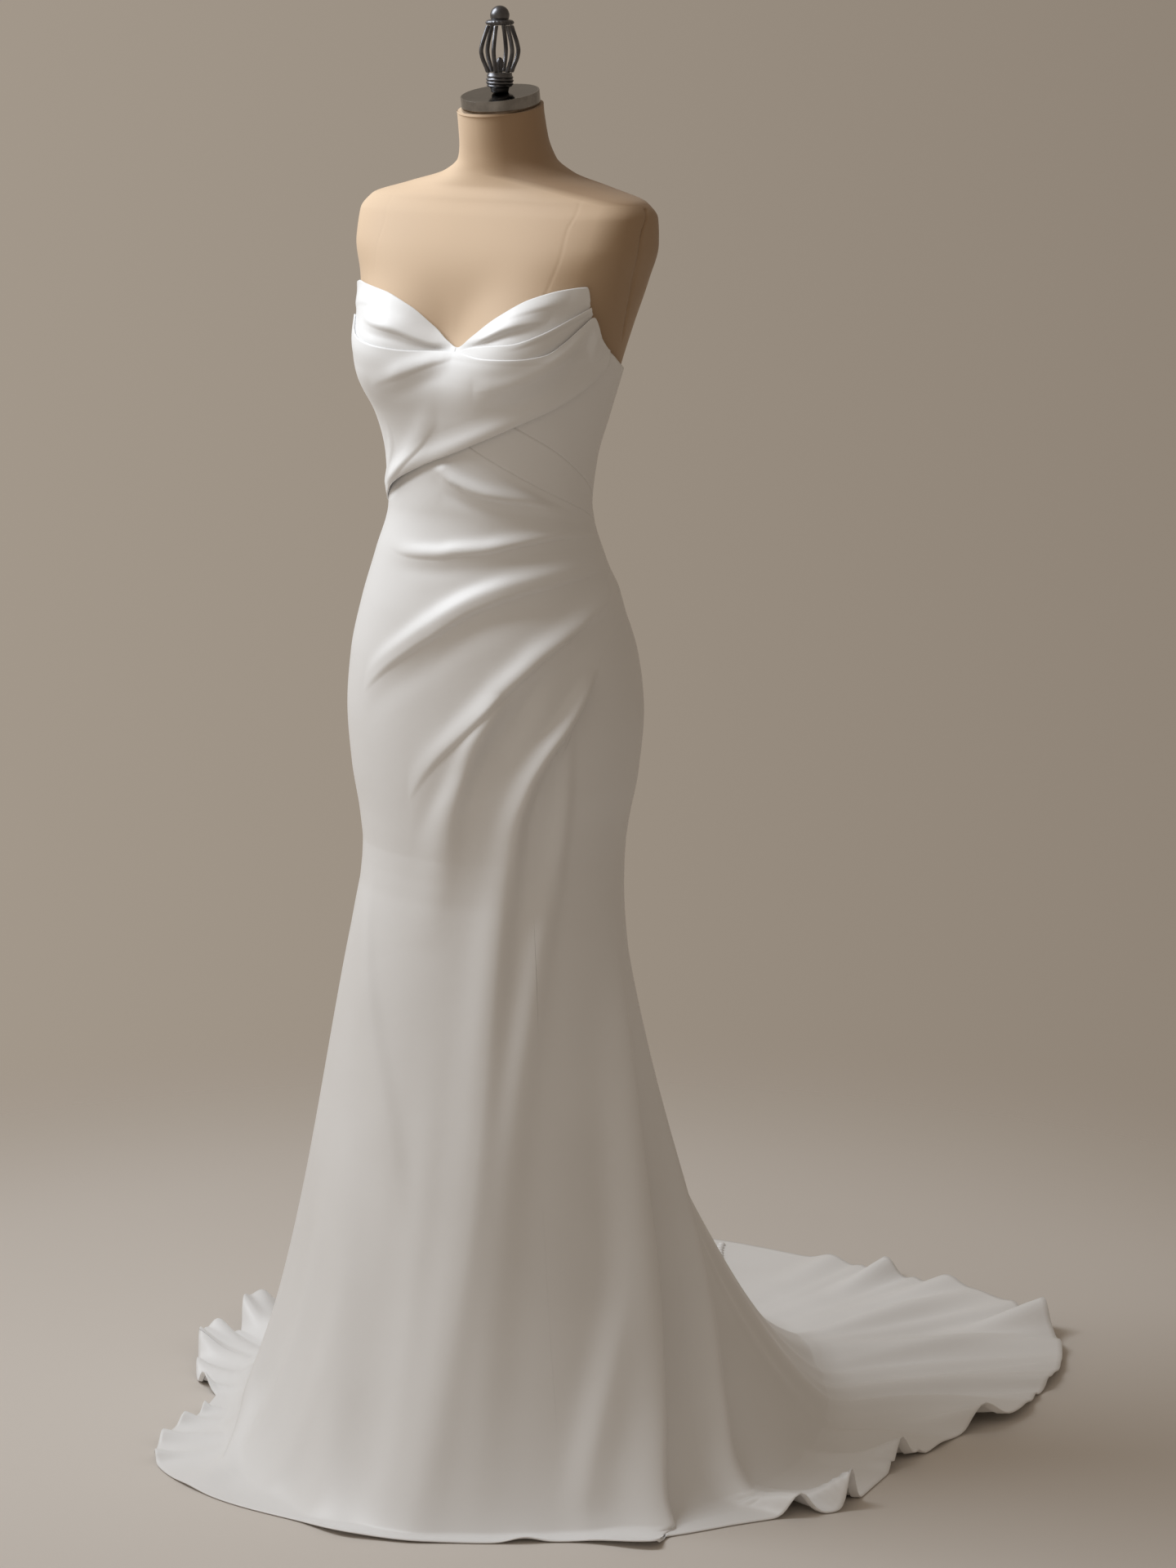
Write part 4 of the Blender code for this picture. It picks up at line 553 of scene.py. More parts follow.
creaseShape = dict(valley=0.20, edgeHalf=0.0028)    # the hollow beyond a slope, and how crisp its edge is


def creases(angle, height, ridges):  # how far a list of creases lifts the cloth
    total = 0 * (angle + height)
    for ridge in ridges:
        lean = (ridge["height"](angle + 1) - ridge["height"](angle - 1)) / (2 * math.radians(1) * figureRadius)
        below = (ridge["height"](angle) - height) / np.sqrt(1 + lean ** 2)
        slope, shelf, half = ridge["slope"], ridge["shelf"], creaseShape["edgeHalf"]
        up, wide = bell(below, ridge["above"]), bell(below, slope)
        crisp = 1 - blend(below, shelf - half, shelf + half)
        valley = bell(below - 1.5 * slope, 0.7 * slope) * blend(below, 0, slope)
        down = ridge["edge"] * crisp + (1 - ridge["edge"]) * wide - creaseShape["valley"] * valley
        total = total + ridge["rise"](angle) * np.where(below < 0, up, down)
    return total


# How far each piece stands out from the figure. The creases of a piece fade out over the spans
# given here: metres from an edge, levels, or degrees.
easeValues = dict(
    pleatsClear=(0.007, 0.020),      # below the drape's edge
    pleatsEnd=(90, 110),             # towards the side-back seam
    cupClear=(0.000, 0.010),         # above the drape
    seatEnd=(0.62, 0.68),            # above the knee
    bandOver=(24, 44),               # where the band lies over the left cup,
    bandRun=(0.008, 0.002),          # up to these distances below the cup's edge,
    bandLift=0.0015,                 # and how far it stands off it
    drapeLow=(0.008, 0.030),         # how the drape settles on the figure from its lower edge
    drapeTop=(0.009, 0.034),         # and from its upper one
    drapeOverBand=((36, 54), (72, 78)),
    drapeLift=0.0012,                # how far it stands off the band
    drapeEnd=(74, 87),               # where its left end thins out
    drapeEndThin=0.7,
    rollStart=(-64, -30),            # where the turned-under edge begins to stand up
    rollShape=(0.004, 0.011),        # its middle above the edge, and its half width
)


def plainEase(angle, level):
    return formGap + 0 * (angle + level)


def skirtEase(angle, level):
    clear = blend(frontTop(angle) - level, *easeValues["pleatsClear"]) * (1 - blend(angle, *easeValues["pleatsEnd"]))
    return formGap + creases(angle, level, hipPleats) * clear


def seatEase(angle, level):
    return formGap + creases(angle, level, backCreases) * blend(level, *easeValues["seatEnd"])


def backEase(angle, level):
    return formGap + creases(angle, level, backCreases)


def cupEase(angle, level):
    return formGap + creases(angle, level, cupCreases) * blend(level - cupRightLow(angle), *easeValues["cupClear"])


def softCupEase(angle, level):
    return formGap + creases(angle, level, softCupCreases) * blend(level - cupLeftLow(angle), *easeValues["cupClear"])


def bandEase(angle, level):
    outer, inner = easeValues["bandRun"]
    overCup = blend(level, cupLeftLow(angle) - outer, cupLeftLow(angle) - inner)
    overCup = overCup * blend(angle, *easeValues["bandOver"])
    return formGap + layer + easeValues["bandLift"] * overCup


def drapeEase(angle, level):  # over what it covers at both edges, flush with the band near the notch
    v = easeValues
    aboveLow = level - drapeLow(angle)
    belowTop = drapeTop(angle) - level
    endLift = 1 - v["drapeEndThin"] * blend(angle, *v["drapeEnd"])
    overLow = layer * endLift * (1 - blend(aboveLow, *v["drapeLow"]))
    bandStart, bandEnd = v["drapeOverBand"]
    overBand = blend(angle, *bandStart) * (1 - blend(angle, *bandEnd))
    over = (layer * (1 + overBand) + v["drapeLift"] * overBand + seamGap) * endLift
    overTop = over * (1 - blend(belowTop, *v["drapeTop"]))
    middle, half = v["rollShape"]
    roll = rollHeight * blend(angle, *v["rollStart"]) * bell(aboveLow - middle, half)
    full = drapeFullness["rise"] * np.exp(-((angle - drapeFullness["angle"]) / drapeFullness["spread"]) ** 2
                                          - ((level - drapeFullness["height"]) / drapeFullness["tall"]) ** 2)
    return formGap + full + np.maximum(overLow + roll, overTop) + creases(angle, level, drapeCreases)


# Lower and upper edges of the pieces
halfGap = seamGap / 2
seamTurn = 0.003             # degrees between each side of an upright seam and its middle
pastDrapeEnd = dict(reach=0.02, angles=(83, 87))    # how the upper side panel rises beyond the drape's left end


def frontTop(angle):
    return np.minimum(drapeLow(angle) + underlap, sideSeamLow(angle) - halfGap)


def sideLowerTop(angle):
    return np.minimum(drapeLow(angle) + underlap, sideSeamHigh(angle) - halfGap)


def sideUpperTop(angle):  # beyond the drape's end the piece runs up to the neckline
    pastDrape = pastDrapeEnd["reach"] * blend(angle, *pastDrapeEnd["angles"])
    return np.minimum(drapeLow(angle) + underlap + pastDrape, neckline(angle))


def bandTop(angle):
    return np.minimum(cupLeftLow(angle), neckline(angle))


def fixed(value):
    return lambda along: value + 0 * np.asarray(along, float)


def moved(curve, distance):
    return lambda angle: curve(angle) + distance


def pleatSeam(level, side):  # the angle of the seam that the pleats end in, one side of it
    return pleatSeamCurve(level) + side * seamTurn


def backSeam(level):  # the angle of the centre back seam, which bears round as it runs out along the train
    return centreBack + trainTurn * blend(-np.asarray(level, float), -0.1, 1.0)


def seam(angle, side):  # one side of an upright seam, as an angle
    return lambda level: angle + side * seamTurn + 0 * np.asarray(level, float)


# Shader node groups, each built once and placed in the materials that use it
def newGroup(name, inputs, outputs):
    group = bpy.data.node_groups.new(name, "ShaderNodeTree")
    for label, kind, value in inputs:
        socket = group.interface.new_socket(label, in_out="INPUT", socket_type=kind)
        if value is not None:
            socket.default_value = value
    for label, kind in outputs:
        group.interface.new_socket(label, in_out="OUTPUT", socket_type=kind)
    return group, group.nodes.new("NodeGroupInput"), group.nodes.new("NodeGroupOutput")


def feed(node, inputs):  # give each input its value, or join it to another node's output
    for key, value in inputs.items():
        if isinstance(value, bpy.types.NodeSocket):
            node.id_data.links.new(value, node.inputs[key])
        else:
            node.inputs[key].default_value = value
    return node


def addNode(tree, kind, settings=None, inputs=None):
    node = tree.nodes.new(kind)
    for key, value in (settings or {}).items():
        setattr(node, key, value)
    return feed(node, inputs or {})


def mathNode(tree, operation, *values):
    return addNode(tree, "ShaderNodeMath", dict(operation=operation), dict(enumerate(values))).outputs[0]


def noise(tree, coordinates, **values):
    node = addNode(tree, "ShaderNodeTexNoise", inputs=values)
    return feed(node, dict(Vector=coordinates)).outputs["Fac"]


def weaveGroup():  # crossing threads from the cloth's own coordinates, in metres
    group, given, out = newGroup("threadWeave", [
        ("Coordinates", "NodeSocketVector", None), ("Threads per metre", "NodeSocketFloat", 1500.0),
        ("Float length", "NodeSocketFloat", 4.0)], [("Height", "NodeSocketFloat")])
    split = addNode(group, "ShaderNodeSeparateXYZ", inputs={0: given.outputs["Coordinates"]})
    turns = mathNode(group, "MULTIPLY", given.outputs["Threads per metre"], 2 * math.pi)
    warp = mathNode(group, "SINE", mathNode(group, "MULTIPLY", split.outputs["X"], turns))
    slow = mathNode(group, "DIVIDE", turns, given.outputs["Float length"])
    weft = mathNode(group, "SINE", mathNode(group, "MULTIPLY", split.outputs["Y"], slow))
    both = mathNode(group, "ADD", mathNode(group, "MULTIPLY", warp, 0.5),
                    mathNode(group, "MULTIPLY", mathNode(group, "MULTIPLY", warp, weft), 0.5))
    feed(out, dict(Height=mathNode(group, "MULTIPLY_ADD", both, 0.5)))
    return group


def softCreaseGroup():  # faint marks of handling, and an uneven gloss, over a few centimetres
    group, given, out = newGroup("handledCloth", [
        ("Coordinates", "NodeSocketVector", None), ("Size", "NodeSocketFloat", 18.0)],
        [("Height", "NodeSocketFloat"), ("Cloud", "NodeSocketFloat")])
    where = given.outputs["Coordinates"]
    handled = noise(group, where, Scale=given.outputs["Size"], Detail=3.0, Roughness=0.45, Distortion=0.6)
    feed(out, dict(Height=handled, Cloud=noise(group, where, Scale=5.0, Detail=2.0, Roughness=0.5)))
    return group


def brushedGroup():  # fine grain round a turned part, and a few wider marks
    group, given, out = newGroup("turnedGrain", [
        ("Coordinates", "NodeSocketVector", None), ("Along", "NodeSocketFloat", 900.0)],
        [("Grain", "NodeSocketFloat"), ("Marks", "NodeSocketFloat")])
    where = given.outputs["Coordinates"]
    along = addNode(group, "ShaderNodeCombineXYZ", inputs=dict(X=18.0, Y=18.0, Z=given.outputs["Along"]))
    stretch = addNode(group, "ShaderNodeVectorMath", dict(operation="MULTIPLY"), {0: where, 1: along.outputs[0]})
    feed(out, dict(Grain=noise(group, stretch.outputs[0], Scale=1.0, Detail=3.0, Roughness=0.6),
                   Marks=noise(group, where, Scale=70.0, Detail=4.0, Roughness=0.6)))
    return group


threadWeave = weaveGroup()
handledCloth = softCreaseGroup()
turnedGrain = brushedGroup()


def newMaterial(name):
    made = bpy.data.materials.new(name)
    made.use_nodes = True
    tree = made.node_tree
    return made, tree, tree.nodes["Principled BSDF"]


def placeGroup(tree, group, inputs):
    return addNode(tree, "ShaderNodeGroup", dict(node_tree=group), inputs)


def ramp(tree, value, low, high, lowColour, highColour):
    node = addNode(tree, "ShaderNodeValToRGB", inputs=dict(Fac=value))
    for element, position, colour in zip(node.color_ramp.elements, (low, high), (lowColour, highColour)):
        element.position = position
        element.color = (*colour, 1.0)
    return node.outputs["Color"]


def remap(tree, value, low, high, newLow=0.0, newHigh=1.0, kind="LINEAR"):
    ends = {"Value": value, "From Min": low, "From Max": high, "To Min": newLow, "To Max": newHigh}
    return addNode(tree, "ShaderNodeMapRange", dict(interpolation_type=kind), ends).outputs["Result"]


def bump(tree, height, distance, strength, before=None):
    node = addNode(tree, "ShaderNodeBump", inputs=dict(Height=height, Distance=distance, Strength=strength))
    if before is not None:
        feed(node, dict(Normal=before))
    return node.outputs["Normal"]


satinValues = dict(
    light=(0.860, 0.868, 0.880),     # a cool white, which the warm studio turns to ivory
    shade=(0.825, 0.830, 0.838),
    cloud=(0.35, 0.65),              # where its colour changes from shade to light
    roughness=(0.36, 0.46),
    threadsPerMetre=2600.0,
    floatLength=5.0,
    weaveDepth=0.00004,
    handledSize=16.0,
    creaseDepth=0.0009,
    sheen=0.22,
)
linenValues = dict(
    light=(0.690, 0.520, 0.360),
    shade=(0.600, 0.440, 0.295),
    cloud=(0.3, 0.7),
    paintedShadeLight=(0.420, 0.288, 0.178),   # painted shade: a darker cover colour where the form stands in shade
    paintedShadeDeep=(0.365, 0.243, 0.146),
    paintedShadeSide=((1.28, 1.40), (0.135, 0.165)),    # painted shade between these heights, past these distances to the left
    paintedShadeNeck=((1.445, 1.475), 0.011),           # and painted shade on the neck above these heights
    paintedShadeEdge=(-0.014, 0.016),                   # how softly the painted shade begins
    roughness=(0.62, 0.78),
    threadsPerMetre=1500.0,
    floatLength=1.0,
    weaveDepth=0.00010,
    handledSize=30.0,
    sheen=0.15,
)


def startCloth(name, values):  # a woven material, and what its colour and its surface are made from
    made, tree, shader = newMaterial(name)
    threads = addNode(tree, "ShaderNodeUVMap", dict(uv_map="threads")).outputs["UV"]
    where = addNode(tree, "ShaderNodeTexCoord").outputs["Object"]
    weave = placeGroup(tree, threadWeave, {"Coordinates": threads, "Threads per metre": values["threadsPerMetre"],
                                           "Float length": values["floatLength"]})
    handled = placeGroup(tree, handledCloth, dict(Coordinates=where, Size=values["handledSize"]))
    cloud = handled.outputs["Cloud"]
    colour = ramp(tree, cloud, *values["cloud"], values["shade"], values["light"])
    feed(shader, {"Roughness": remap(tree, cloud, 0.3, 0.7, *values["roughness"]), "Sheen Weight": values["sheen"]})
    return made, tree, shader, dict(where=where, weave=weave.outputs["Height"], handled=handled.outputs["Height"],
                                    cloud=cloud, colour=colour)


def makeSatin():
    made, tree, shader, cloth = startCloth("ivory satin", satinValues)
    creased = bump(tree, cloth["handled"], satinValues["creaseDepth"], 0.55)
    woven = bump(tree, cloth["weave"], satinValues["weaveDepth"], 0.35, creased)
    feed(shader, {"Base Color": cloth["colour"], "Normal": woven,
                  "Specular IOR Level": 0.45, "Sheen Roughness": 0.35, "Sheen Tint": (1.0, 0.985, 0.96, 1.0)})
    return made


def makeLinen():
    made, tree, shader, cloth = startCloth("form cover linen", linenValues)
    # painted shade: the cover's colour is darkened towards the wearer's left side of the body and over the left of
    # the neck
    paintedShadeColour = ramp(tree, cloth["cloud"], *linenValues["cloud"], linenValues["paintedShadeDeep"], linenValues["paintedShadeLight"])
    split = addNode(tree, "ShaderNodeSeparateXYZ", inputs={0: cloth["where"]})
    heights, starts = linenValues["paintedShadeSide"]
    side = remap(tree, split.outputs["Z"], *heights, *starts)
    neckHeights, neckStart = linenValues["paintedShadeNeck"]
    onNeck = remap(tree, split.outputs["Z"], *neckHeights)
    toNeck = mathNode(tree, "MULTIPLY", onNeck, mathNode(tree, "SUBTRACT", neckStart, side))
    past = mathNode(tree, "SUBTRACT", split.outputs["X"], mathNode(tree, "ADD", side, toNeck))
    share = remap(tree, past, *linenValues["paintedShadeEdge"])
    mixed = addNode(tree, "ShaderNodeMix", dict(data_type="RGBA"), {"Factor": share, 6: cloth["colour"], 7: paintedShadeColour})
    woven = bump(tree, cloth["weave"], linenValues["weaveDepth"], 0.5)
    feed(shader, {"Base Color": mixed.outputs[2], "Normal": woven, "Sheen Roughness": 0.5})
    return made


def makeMetal(name, light, dark, roughness, along, grainDepth, coat=0.0):
    made, tree, shader = newMaterial(name)
    where = addNode(tree, "ShaderNodeTexCoord").outputs["Object"]
    grain = placeGroup(tree, turnedGrain, dict(Coordinates=where, Along=along))
    feed(shader, {"Base Color": ramp(tree, grain.outputs["Marks"], 0.35, 0.68, dark, light),
                  "Roughness": remap(tree, grain.outputs["Grain"], 0.25, 0.75, *roughness),
                  "Normal": bump(tree, grain.outputs["Grain"], grainDepth, 0.6),
                  "Metallic": 1.0, "Coat Weight": coat, "Coat Roughness": 0.15})
    return made


satin = makeSatin()
linen = makeLinen()
brushedSteel = makeMetal("brushed nickel", (0.37, 0.355, 0.34), (0.25, 0.24, 0.23), (0.14, 0.26), 2200.0, 0.00005)
polishedSteel = makeMetal("polished dark nickel", (0.085, 0.082, 0.079), (0.055, 0.053, 0.051), (0.08, 0.18),
                          600.0, 0.00002)
darkIron = makeMetal("waxed dark iron", (0.155, 0.155, 0.165), (0.075, 0.075, 0.082), (0.28, 0.46), 300.0, 0.00006,
                     coat=0.3)
print("materials made")


# Meshes
def buildMesh(name, points, faces, material, uvs=None, sharpAngle=180):
    mesh = bpy.data.meshes.new(name)
    mesh.from_pydata(np.asarray(points, float).tolist(), [], faces)
    if uvs is not None:
        corners = np.zeros(len(mesh.loops), np.int32)
        mesh.loops.foreach_get("vertex_index", corners)
        threads = mesh.uv_layers.new(name="threads")
        threads.data.foreach_set("uv", np.asarray(uvs, np.float32)[corners].ravel())
    mesh.materials.append(material)
    mesh.shade_smooth()
    if sharpAngle < 180:
        mesh.set_sharp_from_angle(angle=math.radians(sharpAngle))
    made = bpy.data.objects.new(name, mesh)
    bpy.context.scene.collection.objects.link(made)
    return made


def place(made, slot, *nodes):
    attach(made, "root")
    if nodes:
        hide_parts(*nodes)
    return made


def gridFaces(index, closed=False):  # quads between the rows of a grid of point numbers
    if closed:
        index = np.concatenate([index, index[:, :1]], 1)
    quads = np.stack([index[:-1, :-1], index[:-1, 1:], index[1:, 1:], index[1:, :-1]], -1)
    return quads.reshape(-1, 4).tolist()


def tubeFaces(index):  # a tube through rings of point numbers, with a face over each end
    return gridFaces(index, closed=True) + [[int(v) for v in index[0][::-1]], [int(v) for v in index[-1]]]


def gridNormals(points):
    return unit(np.cross(np.gradient(points, axis=1), np.gradient(points, axis=0)))


def threadCoordinates(points):  # metres along the weft and the warp
    weft = np.linalg.norm(np.diff(points, axis=1), axis=-1)
    weft = np.concatenate([np.zeros((len(points), 1)), np.cumsum(weft, 1)], 1)
    weft -= weft[:, [points.shape[1] // 2]]
    middle = points[:, points.shape[1] // 2]
    warp = np.concatenate([[0], np.cumsum(np.linalg.norm(np.diff(middle, axis=0), axis=-1))])
    return np.stack([weft, np.broadcast_to(warp[:, None], weft.shape)], -1)


edgeTurn = dict(round=0.35, inset=2)    # how round a turned edge is, and how many points it runs back


def clothPiece(name, angles, levels, ease, wall, nodes, sideRound=edgeTurn["round"]):  # satin, its edges turned under
    inner = dressPoint(angles, levels, ease(angles, levels))
    normals = gridNormals(inner)
    points = inner + normals * wall
    count = points.shape[0] * points.shape[1]
    index = np.arange(count).reshape(points.shape[:2])
    uv = threadCoordinates(points)
    allPoints, allUvs, faces = [points.reshape(-1, 3)], [uv.reshape(-1, 2)], gridFaces(index)
    k, endRound = edgeTurn["inset"], edgeTurn["round"]
    rims = [(np.s_[0], np.s_[k], endRound, False), (np.s_[-1], np.s_[-1 - k], endRound, True),
            (np.s_[:, 0], np.s_[:, k], sideRound, True), (np.s_[:, -1], np.s_[:, -1 - k], sideRound, False)]
    for rim, back, roundness, flip in rims:
        away = unit(points[rim] - points[back])
        rings = [points[rim] - normals[rim] * wall * 0.5 + away * wall * roundness, points[rim] - normals[rim] * wall,
                 points[back] - normals[back] * wall]
        above = index[rim]
        for ring in rings:
            below = np.arange(count, count + len(ring))
            count += len(ring)
            allPoints.append(ring)
            allUvs.append(uv[rim])
            faces += gridFaces(np.stack([above, below] if flip else [below, above]))
            above = below
    made = buildMesh(name, np.concatenate(allPoints), faces, satin, np.concatenate(allUvs), 65)
    return place(made, "satin", *nodes)


def levelGrid(levels, left, right, columns):  # rows at set levels between two seams
    shares = np.linspace(0, 1, columns + 1)
    lefts, rights = left(np.array(levels))[:, None], right(np.array(levels))[:, None]
    angles = lefts + (rights - lefts) * shares
    return angles, np.broadcast_to(np.asarray(levels)[:, None], angles.shape)


def bandGrid(low, high, bottom, top, columns, rows):  # rows that turn from one edge curve to another
    angles = np.linspace(low, high, columns + 1)
    shares = np.linspace(0, 1, rows + 1)[:, None]
    levels = bottom(angles) + (top(angles) - bottom(angles)) * shares
    return np.broadcast_to(angles, levels.shape), levels


def spread(*stretches):  # levels from (start, end, step) stretches, without the repeated ends
    levels = []
    for start, end, step in stretches:
        count = max(1, int(round((end - start) / step)))
        levels += list(np.linspace(start, end, count + 1)[:-1])
    return levels + [stretches[-1][1]]


# The skirt's panels
skirtGrid = dict(flareStep=0.0048, frontStep=0.0020, sideStep=0.0026, backStep=0.0030, frontFloor=0.055,
                 sideFloor=0.045, backFloor=0.022, upperRows=56)
skirtColumns = dict(skirt_front=200, skirt_side_left=112, skirt_side_right=76, train_left=170, train_right=180)
sidePanelTop, panelStep = 0.9865, 0.00015     # where the front crosses over the side panel's upper end
frontGridTop = 1.0375        # above this the front's rows turn to follow its top edge


def frontLeftEdge(level):
    return np.where(level < sidePanelTop, pleatSeam(level, -1), seam(leftSeam, -1)(level))


def panelGrid(name, floorStep, top, step, left, right, *above):  # rows from the hem to the top, between two seams
    levels = spread((-1, 0, floorStep), (0, kneeLevel, skirtGrid["flareStep"]), (kneeLevel, top, step), *above)
    return levelGrid(levels, left, right, skirtColumns[name])


def makeSkirt():
    g = skirtGrid
    below, past = sidePanelTop - panelStep, sidePanelTop + panelStep
    right, back = seam(rightSeam, 1), waistSeam - halfGap
    angles, heights = panelGrid("skirt_front", g["frontFloor"], below, g["frontStep"], right, frontLeftEdge,
                                (below, past, 2 * panelStep), (past, frontGridTop, g["frontStep"]))
    upAngles, upHeights = bandGrid(right(waistSeam), seam(leftSeam, -1)(waistSeam), fixed(frontGridTop), frontTop,
                                   skirtColumns["skirt_front"], g["upperRows"])
    panels = dict(
        skirt_front=(np.concatenate([angles, upAngles[1:]]), np.concatenate([heights, upHeights[1:]]), skirtEase),
        skirt_side_left=(*panelGrid("skirt_side_left", g["sideFloor"], below, g["sideStep"],
                                    lambda level: pleatSeam(level, 1), seam(leftSeam, -1)), skirtEase),
        skirt_side_right=(*panelGrid("skirt_side_right", g["backFloor"], back, g["backStep"],
                                     seam(rightBackSeam, 1), seam(rightSeam, -1)), seatEase),
        train_left=(*panelGrid("train_left", g["backFloor"], back, g["backStep"], seam(leftSeam, 1),
                               lambda level: backSeam(level) - seamTurn), seatEase),
        train_right=(*panelGrid("train_right", g["backFloor"], back, g["backStep"],
                                lambda level: backSeam(level) - 360 + seamTurn, seam(rightBackSeam, -1)), seatEase))
    for name, (angles, heights, ease) in panels.items():
        made = clothPiece(camel(name), angles, heights, ease, skirtWall, [name], sideRound=-0.1)
        print("panel", name, "area", round(sheetArea(made), 3))


def camel(name):
    first, *rest = name.split("_")
    return first + "".join(word.capitalize() for word in rest)


def sheetArea(made):
    return sum(face.area for face in made.data.polygons)


# The bodice: each piece's ends, edges, columns, rows, how it lies, and its cut
backEdge = fixed(waistSeam + halfGap)
bodicePieces = dict(
    back_left=(seam(leftSeam, 1), seam(centreBack, -1), backEdge, neckline, 60, 70, backEase, (0.17, 0.22, 0.0255)),
    back_right=(seam(-centreBack, 1), seam(rightSeam, -1), backEdge, neckline, 80, 70, backEase,
                (0.23, 0.245, 0.036)),
    side_left_lower=(fixed(15), seam(leftSeam, -1), moved(sideSeamLow, halfGap), sideLowerTop, 90, 16, plainEase,
                     (0.22, 0.055, 0.0072)),
    side_left_upper=(fixed(38), seam(leftSeam, -1), moved(sideSeamHigh, halfGap), sideUpperTop, 70, 44, plainEase,
                     (0.19, 0.15, 0.0134)),
    cup_right=(seam(rightSeam, 1), seam(notchAngle, -1), moved(cupRightLow, -underlap), neckline, 110, 34, cupEase,
               (0.28, 0.075, 0.0110)),
    cup_left=(seam(notchAngle, 1), fixed(63.5), moved(cupLeftLow, -underlap), neckline, 80, 34, softCupEase,
              (0.20, 0.064, 0.0061)),
    drape_band=(fixed(9), fixed(66.5), moved(drapeTop, -underlap), bandTop, 90, 20, bandEase, (0.185, 0.036, 0.0035)),
    bust_drape=(seam(rightSeam, 1), fixed(87), drapeLow, drapeTop, 200, 96, drapeEase, (0.54, 0.215, 0.053)),
)


def makeBodice():
    for name, (left, right, bottom, top, columns, rows, ease, cut) in bodicePieces.items():
        angles, heights = bandGrid(left(waistSeam), right(waistSeam), bottom, top, columns, rows)
        made = clothPiece(camel(name), angles, heights, ease, bodiceWall, [name])
        print("bodice piece", name, "area", round(sheetArea(made), 4))


# The covered buttons down the back, closer set than the solids that stand for them, and their loops
buttonRow = dict(top=1.190, last=-0.94, pitch=0.0112, radius=0.0046, height=0.0042, clear=0.0002, sway=0.030,
                 solids=21, loopWire=0.0006, loopReach=0.0062, loopSink=0.0016, loopHalf=0.0042)
# A button's outline, as shares of its radius and its height.
buttonProfile = [(0.40, 0), (0.86, 0.10), (1, 0.30), (0.96, 0.52), (0.80, 0.76), (0.52, 0.93), (0.22, 0.99)]


def makeButtons():
    b = buttonRow
    levels = np.linspace(b["last"], b["top"], 1500)
    path = dressPoint(backSeam(levels), levels, seatEase(backSeam(levels), levels))
    marks = np.concatenate([[0], np.cumsum(np.linalg.norm(np.diff(path, axis=0), axis=-1))])
    count = int(marks[-1] / b["pitch"]) + 1
    made = {"buttonRow": ([], [], []), "buttonLoops": ([], [], [])}
    for i in range(count):
        mark = marks[-1] - i * b["pitch"]
        seat, ahead, behind = (np.array([np.interp(mark + step, marks, path[:, k]) for k in range(3)])
                               for step in (0, 0.004, -0.004))
        upward = unit(ahead - behind)
        across = np.array([-upward[1], upward[0], 0.0]) if upward[2] < 0.5 else np.array([1.0, 0.0, 0.0])
        across *= np.sign(across[0]) / np.linalg.norm(across)
        normal = np.cross(upward, across)
        normal *= np.sign(normal[1] + 0.3 * normal[2]) or 1.0
        seat = seat + normal * (skirtWall + b["clear"])
        tilt = b["sway"] * math.sin(2.7 * i)    # each one sits a little its own way
        addButton(seat, across + tilt * upward, upward, normal, *made["buttonRow"])
        addLoop(seat, across, upward, normal, *made["buttonLoops"])
    stoodFor = {"buttonRow": ["button_%02d" % (i + 1) for i in range(b["solids"])], "buttonLoops": []}
    for name, (points, faces, uvs) in made.items():
        place(buildMesh(name, points, faces, satin, uvs), "satin", *stoodFor[name])
    print("buttons", count)


def addButton(seat, across, upward, normal, points, faces, uvs):
    sides = 14
    start = len(points)
    for share, rise in buttonProfile:
        for j in range(sides):
            turn = 2 * math.pi * j / sides
            offset = buttonRow["radius"] * share * (math.cos(turn) * across + math.sin(turn) * upward)
            points.append(seat + offset + normal * buttonRow["height"] * rise)
            uvs.append((offset @ across, offset @ upward))
    index = np.arange(start, len(points)).reshape(-1, sides)
    tip = len(points)
    points.append(seat + normal * buttonRow["height"])
    uvs.append((0.0, 0.0))
    top = index[-1]
    caps = [[int(top[j]), int(top[(j + 1) % sides]), tip] for j in range(sides)]
    made = gridFaces(index, closed=True) + caps + [[int(v) for v in index[0][::-1]]]
    turnedRight = np.dot(np.cross(across, upward), normal) > 0
    faces += made if turnedRight else [face[::-1] for face in made]


def addLoop(seat, across, upward, normal, points, faces, uvs):  # a fine corded loop round one side of the button
    b = buttonRow
    centres = [seat + normal * b["loopWire"] - across * (b["loopSink"] - b["loopReach"] * math.cos(turn))
               + upward * b["loopHalf"] * math.sin(turn) for turn in np.linspace(-0.5 * math.pi, 0.5 * math.pi, 9)]
    sweepTube(centres, b["loopWire"], 6, points, faces, uvs)


def sweepTube(centres, radius, sides, points, faces, uvs):  # a round tube along a line of points
    centres = np.asarray(centres)
    radius = np.broadcast_to(radius, len(centres))
    heading = unit(np.gradient(centres, axis=0))
    side = np.cross(heading[0], (0.31, 0.22, 0.92))
    start = len(points)
    for centre, forward, size in zip(centres, heading, radius):
        side = unit(side - forward * (side @ forward))
        other = np.cross(forward, side)
        for j in range(sides):
            turn = 2 * math.pi * j / sides
            points.append(centre + size * (math.cos(turn) * side + math.sin(turn) * other))
            uvs.append((size * turn, float(centre[2])))
    faces += tubeFaces(np.arange(start, len(points)).reshape(-1, sides))


# The form under the dress
formValues = dict(
    low=0.80,
    rows=((1.20, 0.008), (1.42, 0.004), (1.50, 0.0016), (None, 0.003)),    # up to each height, in these steps
    columns=480,
    cupClear=0.0020,                             # how far it draws in under the cups,
    cupHeights=((1.19, 1.22), (1.36, 1.40)),     # coming in and going out between these heights
    dressClear=0.0050,
    dressHeights=(1.16, 1.22),
    seamWidth=0.0017,
)
